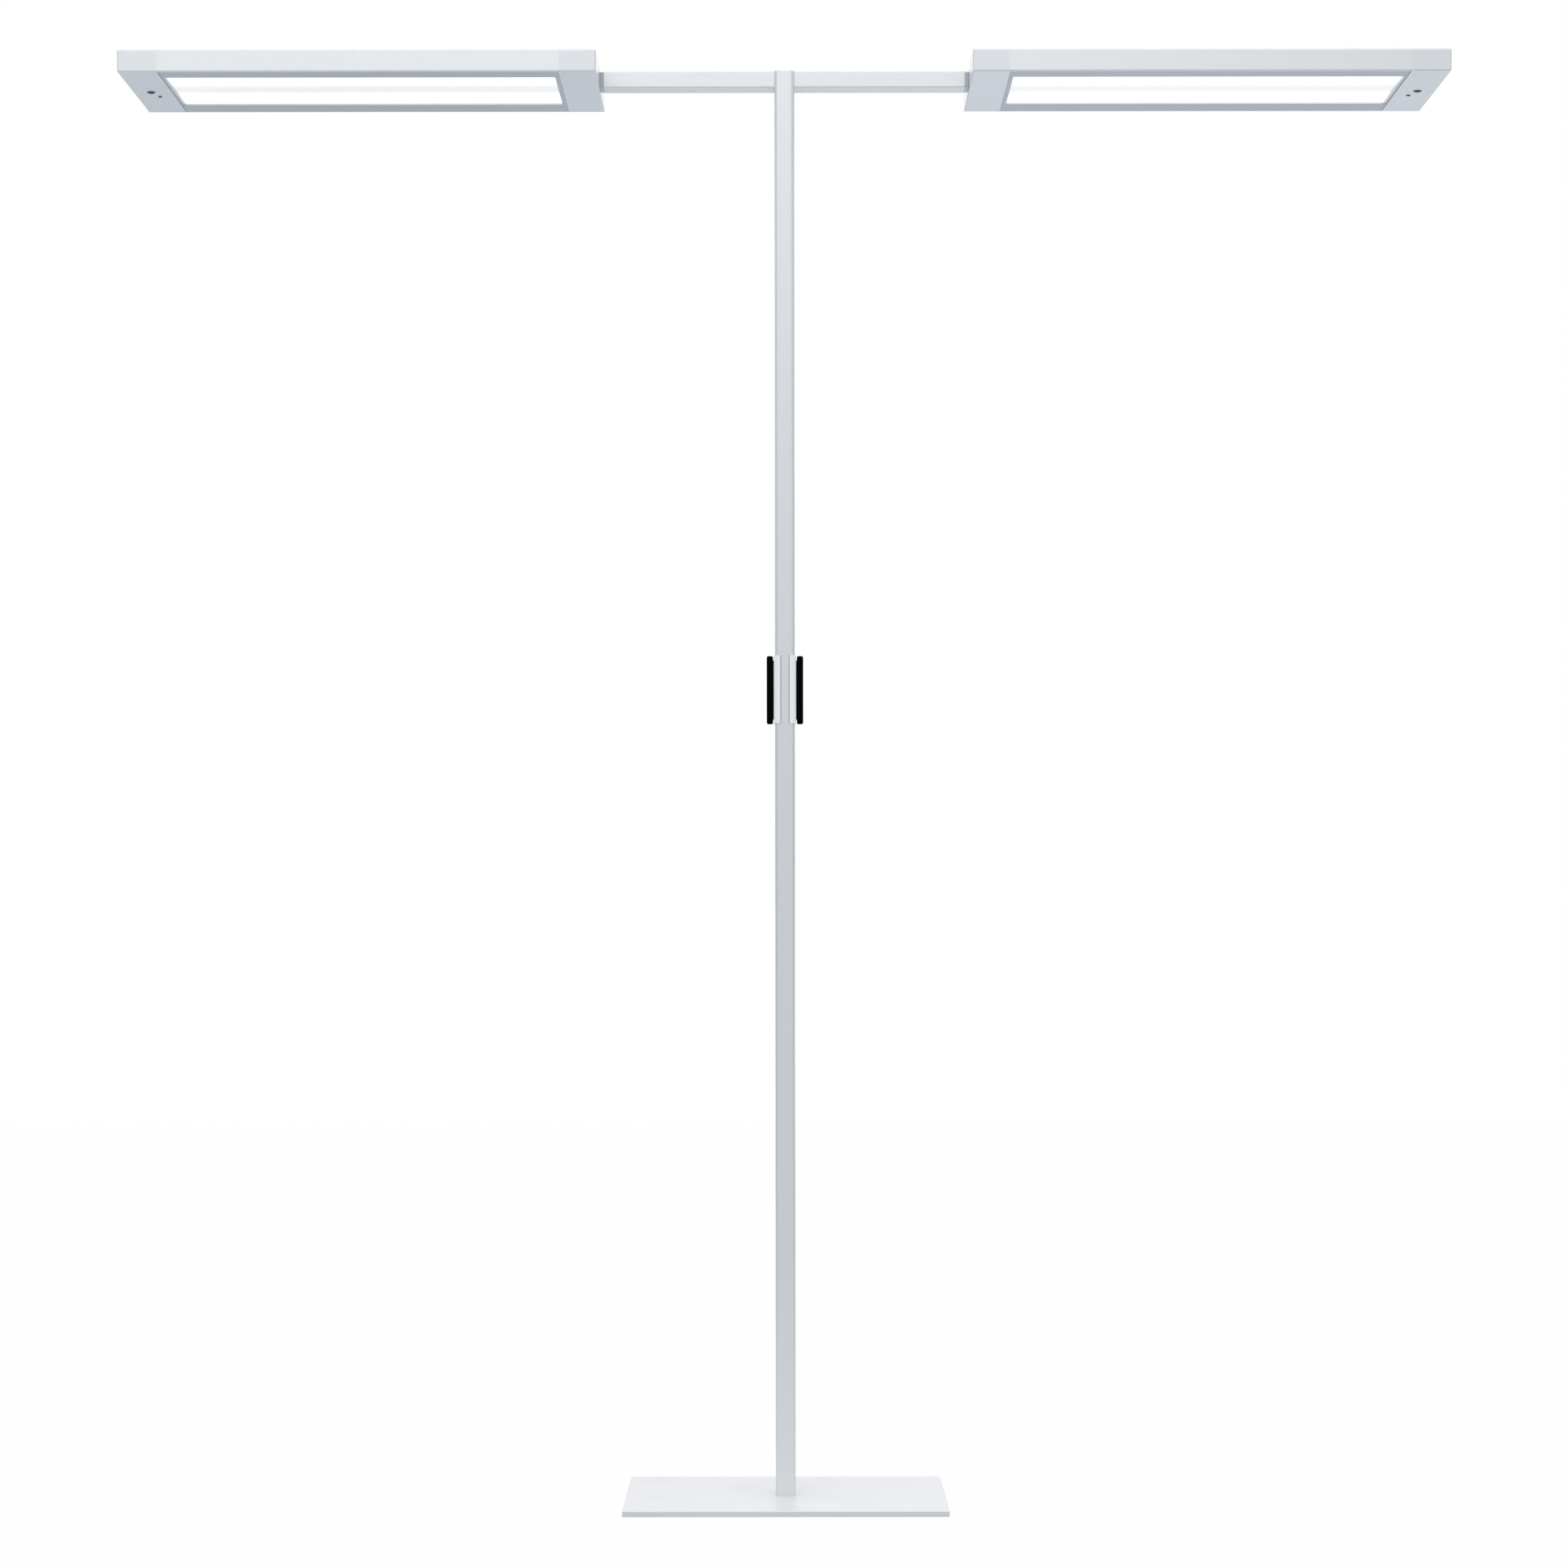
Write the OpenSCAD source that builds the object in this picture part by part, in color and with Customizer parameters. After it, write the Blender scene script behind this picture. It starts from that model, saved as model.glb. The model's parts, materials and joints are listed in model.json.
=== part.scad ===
// Office floor lamp with two long light heads on a slender column.
// Millimetres. +X runs to the right, +Y to the back, +Z up.
// The origin is on the floor, under the middle of the base plate.

/* [Base] */
// Width of the base plate
base_w = 435; // [380:5:520]
// Depth of the base plate
base_d = 305; // [240:5:380]
// Thickness of the base plate
base_t = 7.5; // [7.5:0.5:14]
// Corner radius of the base plate
base_r = 4; // [2:1:20]
// Chamfer along the top edge of the base plate
base_chamfer = 0.8; // [0.4:0.1:1.5]
// Diameter of a floor glide
glide_d = 24; // [16:1:40]
// Thickness of a floor glide
glide_t = 2.5; // [1.5:0.1:4]
// How far a glide stands out below the plate
glide_proud = 0.5; // [0.4:0.1:1.4]
// Distance from the plate's edges to the middle of a glide
glide_inset = 26; // [22:1:60]

/* [Column] */
// Height of the column's top above the floor
column_h = 1950; // [1700:10:2100]
// Width of the column, seen from the front
column_w = 27; // [26:0.5:40]
// Depth of the column
column_d = 46; // [45:1:70]
// Wall of the column
column_wall = 2.2; // [1.6:0.1:2.6]
// Radius of the column's long edges
column_r = 5; // [3:0.5:5.5]
// Height of the block inside the column's foot
foot_block_h = 45; // [35:1:60]
// Height of the mains entry above the base plate
gland_h = 66; // [64:1:200]

/* [Arms] */
// Length of an arm from the column's side to its end
arm_len = 232.5; // [150:0.5:320]
// Height of an arm
arm_h = 22; // [20:0.5:26]
// Depth of an arm
arm_d = 36; // [30:1:38]
// Wall of an arm
arm_wall = 2.2; // [1.6:0.1:2.6]
// Radius of an arm's long edges
arm_r = 1.5; // [0.5:0.1:2]
// Length of a crosshead spigot inside an arm
spigot_len = 60; // [50:1:100]
// Height of the crosshead block inside the column
crosshead_h = 56; // [40:1:90]

/* [Heads] */
// Length of a light head
head_l = 639; // [450:1:800]
// Width of a light head, from front to back
head_w = 250; // [230:1:320]
// Thickness of a light head
head_t = 30.5; // [30:0.5:36]
// How far a head's underside lies below the arms' axis
head_below = 13.5; // [12.5:0.5:15]
// Length of the end block at a head's outer end
block_l = 53; // [46:1:80]
// Length of the end block at a head's inner end
inner_block_l = 50; // [46:1:80]
// Wall of an end block
block_wall = 2.5; // [2:0.1:3]
// Width of a side rail, seen from below
rail_w = 40; // [36:1:46]
// Width of a side rail's closed chamber
chamber_w = 20; // [16:1:22]
// Wall of a side rail
rail_wall = 2.5; // [1.8:0.1:3]
// Thickness of a side rail's flanges
flange_t = 2; // [1.5:0.1:2.5]
// Length of the lip that shows at each end of the lit panel
lip_l = 5; // [3:0.5:8]
// How far the lips and the rails' undersides are set back
recess = 2; // [1:0.1:2.5]
// Radius of a head's long lower edges
head_low_r = 2; // [1:0.1:4]
// Radius of a head's long upper edges
head_top_r = 3; // [1:0.1:4]
// Radius of the edges round a head's end faces
head_end_r = 2; // [0.5:0.1:2.2]
// Radius of a head's upright corners
head_corner_r = 2; // [1:0.1:2.5]
// Thickness of the diffuser
diffuser_t = 2; // [1.5:0.1:2.5]
// Width of the cover along the middle of a head's top
cover_w = 90; // [70:1:100]

/* [Tilt joint] */
// Diameter of the hollow spindle
spindle_d = 12; // [10:0.5:12.5]
// Bore of the hollow spindle
spindle_bore = 7; // [6.5:0.1:7.5]
// Outer diameter of the spindle's bush
bush_d = 16; // [15:0.5:18]
// Thickness of the grey friction collar between arm and head
washer_t = 5.5; // [1:0.1:7]
// Length of the spindle's boss inside a head
boss_len = 14; // [10:1:20]

/* [Push pads] */
// Height of the middle of the pads above the floor
pad_z = 1107; // [800:1:1300]
// Height of a pad
pad_h = 92.6; // [84:0.2:120]
// Width of a pad, seen from the side
pad_w = 26; // [22:1:30]
// Thickness of a pad
pad_t = 8.6; // [8.2:0.1:11]
// Radius of a pad's upright outer edges
pad_r = 3.6; // [2:0.1:4]
// Radius of a pad's ends, seen from the front
pad_end_r = 2.8; // [2:0.1:4.05]
// Solid part at each end of a pad
pad_end_wall = 5.5; // [5:0.1:7]
// Travel of a pad
pad_travel = 1; // [0.6:0.1:1.2]
// Thickness of the cheek that wraps the column's side
cheek_t = 1.6; // [1:0.1:2]
// Half of the bare strip between the cheeks
cheek_edge = 6.4; // [4:0.1:8]

/* [Hidden] */
$fn = 64;

// Clearances
fit = 0.1;
running = 0.05;
slip = 0.3;
cut = 1;

// Colours
silver = [0.84, 0.86, 0.88];
grey = [0.76, 0.79, 0.82];
black = [0.05, 0.05, 0.055];
steel = [0.55, 0.56, 0.58];
opal = [0.97, 0.97, 0.96];
board = [0.9, 0.91, 0.88];

// Levels on the stand
plate_bottom = glide_proud;
plate_top = plate_bottom + base_t;
arm_axis = column_h - arm_h / 2;
gland_z = plate_top + gland_h;

// Column and what fits inside it
inner_w = column_w - 2 * column_wall;
inner_d = column_d - 2 * column_wall;
inner_r = column_r - column_wall;
cap_t = 2.2;
spigot_d = arm_d - 2 * arm_wall - 2 * fit;
spigot_h = arm_h - 2 * arm_wall - 2 * fit;
slot_d = spigot_d + 2 * fit;
lead_bore_r = 4;

// Base fixing screws
base_screw_d = 8;
base_screw_head_d = 15;
base_screw_len = 25;
base_screw_gap = 24;

// Set screws and small screws
set_screw_d = 5;
small_screw_d = 3;
small_screw_head_d = 5.6;
small_screw_len = 8;
foot_screw_levels = [foot_block_h - 21, foot_block_h - 7];

// Mains entry and inner leads
gland_d = 12;
gland_flange_d = 18;
gland_flange_t = 2;
mains_lead_d = 7;
arm_lead_d = 5.6;
lead_y = 12;
lead_bend = 7.5;

// Heads, measured from the column's middle
arm_end = column_w / 2 + arm_len;
head_in = arm_end + washer_t + slip;
head_out = head_in + head_l;
rail_in = head_in + inner_block_l;
rail_out = head_out - block_l;
half_w = head_w / 2;
opening = half_w - rail_w;
tenon_len = 12;
tenon_y = half_w - chamber_w / 2;
plug_len = 30;

// Heights inside a head, from the arm's axis
bottom_z = -head_below;
top_z = head_t - head_below;
strip_z = bottom_z + recess;
floor_z = strip_z + flange_t;
ceiling_z = top_z - flange_t;
ledge_t = 1.5;
tray_t = 1.5;
tray_gap = 13.5;
tray_ledge_z = floor_z + tray_gap;
tray_z = tray_ledge_z + ledge_t;
groove_in = 5;
groove_depth = 8;
led_t = 1.6;
led_board_w = 20;
led_board_y = 42;
uplight_y = (opening + cover_w / 2) / 2;
led_count = 18;

// Tilt joint
bush_flange_t = 1.5;
bush_flange_d = bush_d + 3;
boss_d = bush_d + 8;
nut_af = 16;
nut_t = 6;
nut_x = head_in + boss_len + bush_flange_t + slip;
spindle_end = nut_x + nut_t + 2;

// Sensors, placed from a head's outer end
presence_x = 25;
presence_y = -3;
presence_d = 11.5;
light_x = 33;
light_y = 23;
light_d = 6;
lens_flange_t = 1.5;
lens_body = 4;

// Push pads and the switch between them
cheek_face = column_w / 2 + cheek_t + running;
pad_in = cheek_face + pad_travel + slip / 2;
pad_out = pad_in + pad_t;
pad_corner_r = 5;
pad_wall = 1.6;
pad_face_t = 2;
switch_base_t = 3.2;
stem_d = 5;
leg_d = 5;
leg_z = 34;
board_t = 1.6;
board_h = 86;
board_y = [-15, 7];
key_t = 3.4;
key_w = 6;
stem_in = board_t / 2 + key_t + pad_travel + slip;

// ---- Helpers ----

// Children on one side: -1 is left, 1 is right
module on_side(side) {
    mirror([side < 0 ? 1 : 0, 0, 0]) children();
}

// A flat outline stood up and drawn out along X
module along_x(from, to) {
    translate([from, 0, 0]) rotate([90, 0, 90]) linear_extrude(to - from) children();
}

// A flat outline stood up and drawn out along Y
module along_y(from, to) {
    translate([0, to, 0]) rotate([90, 0, 0]) linear_extrude(to - from) children();
}

// Rectangle about the origin with four round corners
module rounded(w, d, r) {
    square([w - 2 * r, d], center = true);
    square([w, d - 2 * r], center = true);
    for (x = [-1, 1], y = [-1, 1])
        translate([x * (w / 2 - r), y * (d / 2 - r)]) circle(r);
}

// Round rod along X
module rod_x(from, to, d) {
    translate([from, 0, 0]) rotate([0, 90, 0]) cylinder(h = to - from, d = d);
}

// Countersunk screw, head up at z = 0
module countersunk_screw(d, head_d, len) {
    head_h = (head_d - d) / 2;
    difference() {
        union() {
            translate([0, 0, -len]) cylinder(h = len - head_h, d = d);
            translate([0, 0, -head_h]) cylinder(h = head_h, d1 = d, d2 = head_d);
        }
        translate([0, 0, -head_h * 0.7]) cylinder(h = head_h, d = d * 0.6, $fn = 6);
    }
}

// Room for a countersunk screw, head up at z = 0
module screw_room(d, head_d, len) {
    head_h = (head_d - d) / 2;
    translate([0, 0, -len]) cylinder(h = len - head_h + fit, d = d + 2 * fit);
    translate([0, 0, -head_h]) cylinder(h = head_h, d1 = d, d2 = head_d);
    cylinder(h = cut, d = head_d);
}

// Headless screw with a hexagon socket, top at z = 0
module set_screw(d, len) {
    translate([0, 0, -len]) difference() {
        cylinder(h = len, d = d);
        translate([0, 0, len * 0.55]) cylinder(h = len, d = d * 0.5, $fn = 6);
    }
}

// ---- Base ----

module glide_places() {
    for (x = [-1, 1], y = [-1, 1])
        translate([x * (base_w / 2 - glide_inset), y * (base_d / 2 - glide_inset), 0]) children();
}

module base_screw_places() {
    for (y = [-1, 1])
        translate([0, y * base_screw_gap / 2, plate_bottom]) rotate([180, 0, 0]) children();
}

module base_plate() {
    color(silver) difference() {
        hull() for (x = [-1, 1], y = [-1, 1])
            translate([x * (base_w / 2 - base_r), y * (base_d / 2 - base_r), plate_bottom]) {
                cylinder(h = base_t - base_chamfer, r = base_r, $fn = 32);
                cylinder(h = base_t, r = base_r - base_chamfer, $fn = 32);
            }
        glide_places() cylinder(h = glide_t, d = glide_d + 2 * fit);
        base_screw_places() screw_room(base_screw_d, base_screw_head_d, base_t + cut);
    }
}

module base_glides() {
    color(black) glide_places() cylinder(h = glide_t, d = glide_d);
}

module base_screws() {
    color(steel) base_screw_places()
        countersunk_screw(base_screw_d, base_screw_head_d, base_screw_len);
}

// ---- Column ----

module foot_screw_places() {
    for (level = foot_screw_levels)
        translate([0, column_d / 2 - slip, plate_top + level]) rotate([-90, 0, 0]) children();
}

module foot_block() {
    color(steel) difference() {
        translate([0, 0, plate_top]) linear_extrude(foot_block_h)
            rounded(inner_w - 2 * fit, inner_d - 2 * fit, inner_r - fit);
        base_screw_places() screw_room(base_screw_d, base_screw_head_d, base_screw_len + cut);
        foot_screw_places() translate([0, 0, -9]) cylinder(h = 9, d = set_screw_d + 2 * fit);
    }
}

module foot_set_screws() {
    color(steel) foot_screw_places() set_screw(set_screw_d, 8);
}

module side_window(w, h, z) {
    translate([-column_w, -w / 2, z]) cube([2 * column_w, w, h]);
}

module column() {
    color(silver) difference() {
        translate([0, 0, plate_top]) linear_extrude(column_h - plate_top) difference() {
            rounded(column_w, column_d, column_r);
            rounded(inner_w, inner_d, inner_r);
        }
        side_window(slot_d, arm_h, arm_axis - spigot_h / 2);
        translate([0, 0, pad_z]) {
            rod_x(-column_w, column_w, stem_d + 2);
            for (z = [-leg_z, leg_z])
                translate([0, 0, z]) rod_x(-column_w, column_w, leg_d + 2 * fit);
        }
        translate([0, 0, gland_z]) rotate([-90, 0, 0]) cylinder(h = column_d, d = gland_d);
        foot_screw_places() translate([0, 0, -9]) cylinder(h = 20, d = set_screw_d + 2 * fit);
    }
}

module cable_gland() {
    body_in = column_d / 2 - column_wall - 1.5;
    color(black) translate([0, 0, gland_z]) rotate([-90, 0, 0]) difference() {
        union() {
            translate([0, 0, body_in]) cylinder(h = column_d / 2 - body_in, d = gland_d - 2 * fit);
            translate([0, 0, column_d / 2]) cylinder(h = gland_flange_t, d = gland_flange_d);
            translate([0, 0, column_d / 2 + gland_flange_t])
                cylinder(h = 3, d1 = gland_d, d2 = gland_d - 2);
        }
        cylinder(h = column_d, d = mains_lead_d + 2 * fit);
    }
}

module wiring_loom() {
    lead_top = column_h - cap_t - crosshead_h + 28;
    color(black) {
        translate([0, 0, gland_z]) {
            translate([0, column_d / 2, 0]) rotate([90, 0, 0])
                cylinder(h = column_d / 2 - lead_y - lead_bend, d = mains_lead_d);
            translate([0, lead_y + lead_bend, lead_bend]) rotate([0, -90, 0]) rotate([0, 0, 180])
                rotate_extrude(angle = 90) translate([lead_bend, 0]) circle(d = mains_lead_d);
            translate([0, lead_y, lead_bend])
                cylinder(h = lead_top - gland_z - lead_bend, d = mains_lead_d);
        }
        for (side = [-1, 1]) on_side(side)
            translate([0, 0, arm_axis]) rod_x(slip, spindle_end + 4, arm_lead_d);
    }
}

// ---- Crosshead and arms ----

module cap_screw_places() {
    for (y = [-1, 1])
        translate([0, y * (inner_d / 2 - 4.5), column_h]) children();
}

module arm_screw_places() {
    for (side = [-1, 1]) on_side(side)
        for (x = [column_w / 2 + 18, column_w / 2 + spigot_len - 16, arm_end - plug_len / 2])
            translate([x, 0, column_h - slip]) children();
}

module arm_screw_room() {
    arm_screw_places() translate([0, 0, -arm_h / 2]) cylinder(h = arm_h, d = set_screw_d + 2 * fit);
}

module crosshead() {
    bottom = column_h - cap_t - crosshead_h;
    color(steel) difference() {
        union() {
            translate([0, 0, bottom]) linear_extrude(crosshead_h)
                rounded(inner_w - 2 * fit, inner_d - 2 * fit, inner_r - fit);
            translate([0, 0, arm_axis])
                along_x(-column_w / 2 - spigot_len, column_w / 2 + spigot_len)
                    square([spigot_d, spigot_h], center = true);
        }
        translate([0, lead_y, bottom - cut])
            cylinder(h = arm_axis - bottom + cut, d = mains_lead_d + 2 * fit);
        translate([-lead_bore_r, 0, arm_axis - lead_bore_r])
            cube([2 * lead_bore_r, lead_y, 2 * lead_bore_r]);
        translate([0, 0, arm_axis]) rod_x(-arm_end, arm_end, 2 * lead_bore_r);
        arm_screw_places() translate([0, 0, -6.4]) cylinder(h = 10, d = set_screw_d + 2 * fit);
        cap_screw_places() screw_room(small_screw_d, small_screw_head_d, small_screw_len + cut);
    }
}

module column_cap() {
    color(silver) difference() {
        translate([0, 0, column_h - cap_t]) linear_extrude(cap_t) {
            rounded(inner_w - 2 * fit, inner_d - 2 * fit, inner_r - fit);
            square([column_w, slot_d - 2 * fit], center = true);
        }
        cap_screw_places() screw_room(small_screw_d, small_screw_head_d, small_screw_len);
    }
}

module cap_screws() {
    color(steel) cap_screw_places()
        countersunk_screw(small_screw_d, small_screw_head_d, small_screw_len);
}

module arm(side) {
    color(silver) difference() {
        on_side(side) translate([0, 0, arm_axis]) along_x(column_w / 2, arm_end) difference() {
            rounded(arm_d, arm_h, arm_r);
            square([arm_d - 2 * arm_wall, arm_h - 2 * arm_wall], center = true);
        }
        arm_screw_room();
    }
}

module arm_set_screws() {
    color(steel) {
        for (side = [-1, 1]) on_side(side) {
            for (x = [column_w / 2 + 18, column_w / 2 + spigot_len - 16])
                translate([x, 0, column_h - slip]) set_screw(set_screw_d, 6);
            translate([arm_end - plug_len / 2, 0, column_h - slip])
                set_screw(set_screw_d, arm_h / 2 - spindle_d / 2 - 2 * slip);
        }
    }
}

module arm_plug(side) {
    color(steel) on_side(side) difference() {
        translate([0, 0, arm_axis]) difference() {
            along_x(arm_end - plug_len, arm_end) square([spigot_d, spigot_h], center = true);
            rod_x(arm_end - plug_len - cut, arm_end + cut, spindle_d + 2 * running);
        }
        translate([arm_end - plug_len / 2, 0, arm_axis])
            cylinder(h = arm_h, d = set_screw_d + 2 * fit);
    }
}

module spindle(side) {
    color(steel) on_side(side) translate([0, 0, arm_axis]) difference() {
        rod_x(arm_end - plug_len, spindle_end, spindle_d);
        rod_x(arm_end - plug_len - cut, spindle_end + cut, spindle_bore);
    }
}

module washer(side) {
    color(grey) on_side(side) translate([0, 0, arm_axis]) difference() {
        along_x(arm_end, arm_end + washer_t) rounded(arm_d - 1, arm_h - 1, arm_r);
        rod_x(arm_end - cut, head_in, spindle_d + 2 * fit);
    }
}

module pivot_nuts() {
    color(steel) for (side = [-1, 1]) on_side(side) translate([0, 0, arm_axis]) difference() {
        translate([nut_x, 0, 0]) rotate([0, 90, 0])
            cylinder(h = nut_t, d = nut_af / cos(30), $fn = 6);
        rod_x(nut_x - cut, nut_x + nut_t + cut, spindle_d + 2 * running);
    }
}

// ---- Push pads ----

module switch_cheek(side) {
    color(grey) on_side(side) difference() {
        translate([0, 0, pad_z - pad_h / 2]) linear_extrude(pad_h) difference() {
            rounded(2 * cheek_face, column_d + 2 * (cheek_t + running), column_r + cheek_t + running);
            rounded(column_w + 2 * running, column_d + 2 * running, column_r + running);
            translate([cheek_edge - column_w, -column_d]) square([column_w, 2 * column_d]);
        }
        translate([0, 0, pad_z]) {
            rod_x(0, column_w, stem_d + 2);
            for (z = [-leg_z, leg_z]) translate([0, 0, z]) rod_x(0, column_w, leg_d + 2 * fit);
        }
    }
}

module switch_base(side) {
    edge = pad_wall + 2 * slip;
    end_edge = pad_end_wall + 2 * slip;
    color(black) on_side(side) translate([0, 0, pad_z]) difference() {
        union() {
            along_x(cheek_face, cheek_face + switch_base_t)
                rounded(pad_w - 2 * edge, pad_h - 2 * end_edge, pad_corner_r - edge);
            for (z = [-leg_z, leg_z]) translate([0, 0, z])
                rod_x(board_t / 2, cheek_face + cut, leg_d);
        }
        rod_x(0, pad_out, stem_d + 2 * running);
    }
}

module switch_board() {
    color(board) translate([0, 0, pad_z]) {
        translate([-board_t / 2, board_y[0], -board_h / 2])
            cube([board_t, board_y[1] - board_y[0], board_h]);
        translate([-board_t / 2 - key_t, -key_w / 2, -key_w / 2])
            cube([board_t + 2 * key_t, key_w, key_w]);
    }
}

module button(side) {
    color(black) on_side(side) translate([0, 0, pad_z]) {
        difference() {
            intersection() {
                along_x(pad_in, pad_out) rounded(pad_w, pad_h, pad_corner_r);
                along_y(-pad_w, pad_w) translate([(pad_in + pad_out) / 2, 0])
                    rounded(pad_t, pad_h, pad_end_r);
                translate([0, 0, -pad_h]) linear_extrude(2 * pad_h) rounded(2 * pad_out, pad_w, pad_r);
            }
            along_x(0, pad_out - pad_face_t)
                rounded(pad_w - 2 * pad_wall, pad_h - 2 * pad_end_wall, pad_corner_r - pad_wall);
        }
        rod_x(stem_in, pad_out - pad_face_t + fit, stem_d);
    }
}

// ---- Light heads ----

// Cross-section of a side rail, with its outer face at +half_w
module rail_section() {
    inner_face = half_w - chamber_w;
    difference() {
        union() {
            translate([inner_face, strip_z])
                square([chamber_w - max(head_low_r, 2), top_z - strip_z - head_top_r]);
            translate([inner_face, bottom_z + head_low_r])
                square([chamber_w, head_t - head_low_r - head_top_r]);
            translate([inner_face, strip_z])
                square([chamber_w - head_top_r - 1.5, top_z - strip_z]);
            translate([half_w - head_low_r, bottom_z + head_low_r]) circle(head_low_r);
            translate([half_w - head_top_r, top_z - head_top_r]) circle(head_top_r);
            for (z = [strip_z, ceiling_z])
                translate([opening, z]) square([rail_w - chamber_w + 1, flange_t]);
            diffuser_groove();
            translate([opening - 3, ceiling_z - ledge_t]) square([6, ledge_t]);
            translate([inner_face - 4, tray_ledge_z]) square([5, ledge_t]);
        }
        translate([inner_face + rail_wall, floor_z])
            square([chamber_w - 2 * rail_wall, ceiling_z - floor_z]);
    }
}

// Hooked rib that holds the diffuser's long edge
module diffuser_groove() {
    hook_z = floor_z + diffuser_t + slip;
    translate([opening + groove_depth, floor_z]) square([ledge_t, diffuser_t + slip + ledge_t]);
    translate([opening + groove_in, hook_z]) square([groove_depth - groove_in, ledge_t]);
}

module rail(side, back) {
    color(grey) on_side(side) translate([0, 0, arm_axis]) mirror([0, back < 0 ? 1 : 0, 0])
        difference() {
            along_x(rail_in, rail_out) rail_section();
            for (x = [rail_in + tenon_len / 2, rail_out - tenon_len / 2])
                translate([x, tenon_y, top_z])
                    screw_room(small_screw_d, small_screw_head_d, small_screw_len);
        }
}

// Cross-section of a whole head
module head_section() {
    low_w = head_w - 2 * head_low_r;
    top_w = head_w - 2 * head_top_r;
    translate([-low_w / 2, bottom_z]) square([low_w, head_low_r + cut]);
    translate([-half_w, bottom_z + head_low_r]) square([head_w, head_t - head_low_r - head_top_r]);
    translate([-top_w / 2, top_z - head_top_r - cut]) square([top_w, head_top_r + cut]);
    for (y = [-1, 1]) {
        translate([y * low_w / 2, bottom_z + head_low_r]) circle(head_low_r);
        translate([y * top_w / 2, top_z - head_top_r]) circle(head_top_r);
    }
}

// Closed outline of a head with soft edges round its ends, cut to one end block
module block_shell(from, to) {
    mid = (head_in + head_out) / 2;
    intersection() {
        along_x(from, to) head_section();
        translate([mid, 0, bottom_z]) linear_extrude(head_t) rounded(head_l, head_w, head_corner_r);
        along_y(-half_w, half_w) translate([mid, bottom_z + head_t / 2])
            rounded(head_l, head_t, head_end_r);
    }
}

// An end block. joint_x is where the rails start, and out is 1 where they lie in +X
module end_block(from, to, joint_x, out) {
    wall_from = out > 0 ? from + block_wall : from - cut;
    wall_to = out > 0 ? to + cut : to - block_wall;
    lip_from = out > 0 ? joint_x - 3 : joint_x - lip_l;
    post_from = out > 0 ? joint_x - tenon_len : joint_x;
    tenon_from = out > 0 ? joint_x - cut : joint_x - tenon_len;
    difference() {
        union() {
            difference() {
                block_shell(from, to);
                along_x(wall_from, wall_to) translate([-half_w + block_wall, bottom_z + block_wall])
                    square([head_w - 2 * block_wall, head_t - 2 * block_wall]);
            }
            along_x(post_from, post_from + tenon_len) intersection() {
                head_section();
                for (y = [-1, 1]) translate([y * tenon_y - chamber_w / 2, bottom_z])
                    square([chamber_w, head_t]);
            }
            along_x(tenon_from, tenon_from + tenon_len + cut) for (y = [-1, 1])
                translate([y * tenon_y - chamber_w / 2 + rail_wall + fit, floor_z + fit])
                    square([chamber_w - 2 * rail_wall - 2 * fit, ceiling_z - floor_z - 2 * fit]);
            end_lip(lip_from, opening - fit, strip_z, flange_t);
            end_lip(lip_from, opening - 3 - fit, ceiling_z - ledge_t, ledge_t);
        }
        for (y = [-1, 1]) translate([joint_x + out * tenon_len / 2, y * tenon_y, top_z])
            screw_room(small_screw_d, small_screw_head_d, small_screw_len + cut);
    }
}

// Lip along the end of the opening, which carries the sheets' short edges
module end_lip(from, half, z, t) {
    translate([from, -half, z]) cube([lip_l + 3, 2 * half, t]);
}

module inner_block(side) {
    color(grey) on_side(side) translate([0, 0, arm_axis]) difference() {
        union() {
            end_block(head_in, rail_in, rail_in, 1);
            rod_x(head_in, head_in + boss_len, boss_d);
        }
        rod_x(head_in - cut, head_in + boss_len + cut, bush_d + 2 * running);
    }
}

module outer_block(side) {
    color(grey) on_side(side) translate([0, 0, arm_axis]) difference() {
        union() {
            end_block(rail_out, head_out, rail_out, -1);
            for (y = [-70, 70]) translate([rail_out + tenon_len, y - 0.8, bottom_z + 1])
                cube([block_l - tenon_len - 1, 1.6, head_t - 2]);
            board_posts(sensor_board_z, 5);
        }
        sensor_places() translate([0, 0, bottom_z - cut]) cylinder(h = 10, d = $lens_d + 2 * fit);
    }
}

// Sensors sit on the outer block's floor, and their board on the sensors
block_floor = bottom_z + block_wall;
sensor_board_z = block_floor + lens_flange_t + lens_body;

module sensor_places() {
    translate([head_out - presence_x, presence_y, 0]) {
        $lens_d = presence_d;
        children();
    }
    translate([head_out - light_x, light_y, 0]) {
        $lens_d = light_d;
        children();
    }
}

module board_posts(top, d) {
    for (x = [-12, 12], y = [-34, 34])
        translate([head_out - 26 + x, 14 + y, block_floor - 1])
            cylinder(h = top - block_floor + 1, d = d);
}

module presence_sensor(side) {
    color(black) on_side(side) translate([head_out - presence_x, presence_y, arm_axis]) {
        translate([0, 0, block_floor]) cylinder(h = lens_flange_t, d = presence_d + 4);
        translate([0, 0, block_floor + lens_flange_t]) cylinder(h = lens_body, d = presence_d - 2);
        translate([0, 0, bottom_z]) cylinder(h = block_wall, d = presence_d);
    }
}

module light_sensor(side) {
    color(black) on_side(side) translate([head_out - light_x, light_y, arm_axis]) {
        translate([0, 0, block_floor]) cylinder(h = lens_flange_t, d = light_d + 4);
        translate([0, 0, block_floor + lens_flange_t]) cylinder(h = lens_body, d = light_d);
        translate([0, 0, bottom_z + 0.4]) cylinder(h = block_wall, d = light_d);
    }
}

module sensor_board(side) {
    color(board) on_side(side) translate([head_out - 26, 14, arm_axis + sensor_board_z])
        translate([-17, -40, 0]) cube([34, 80, board_t]);
}

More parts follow.
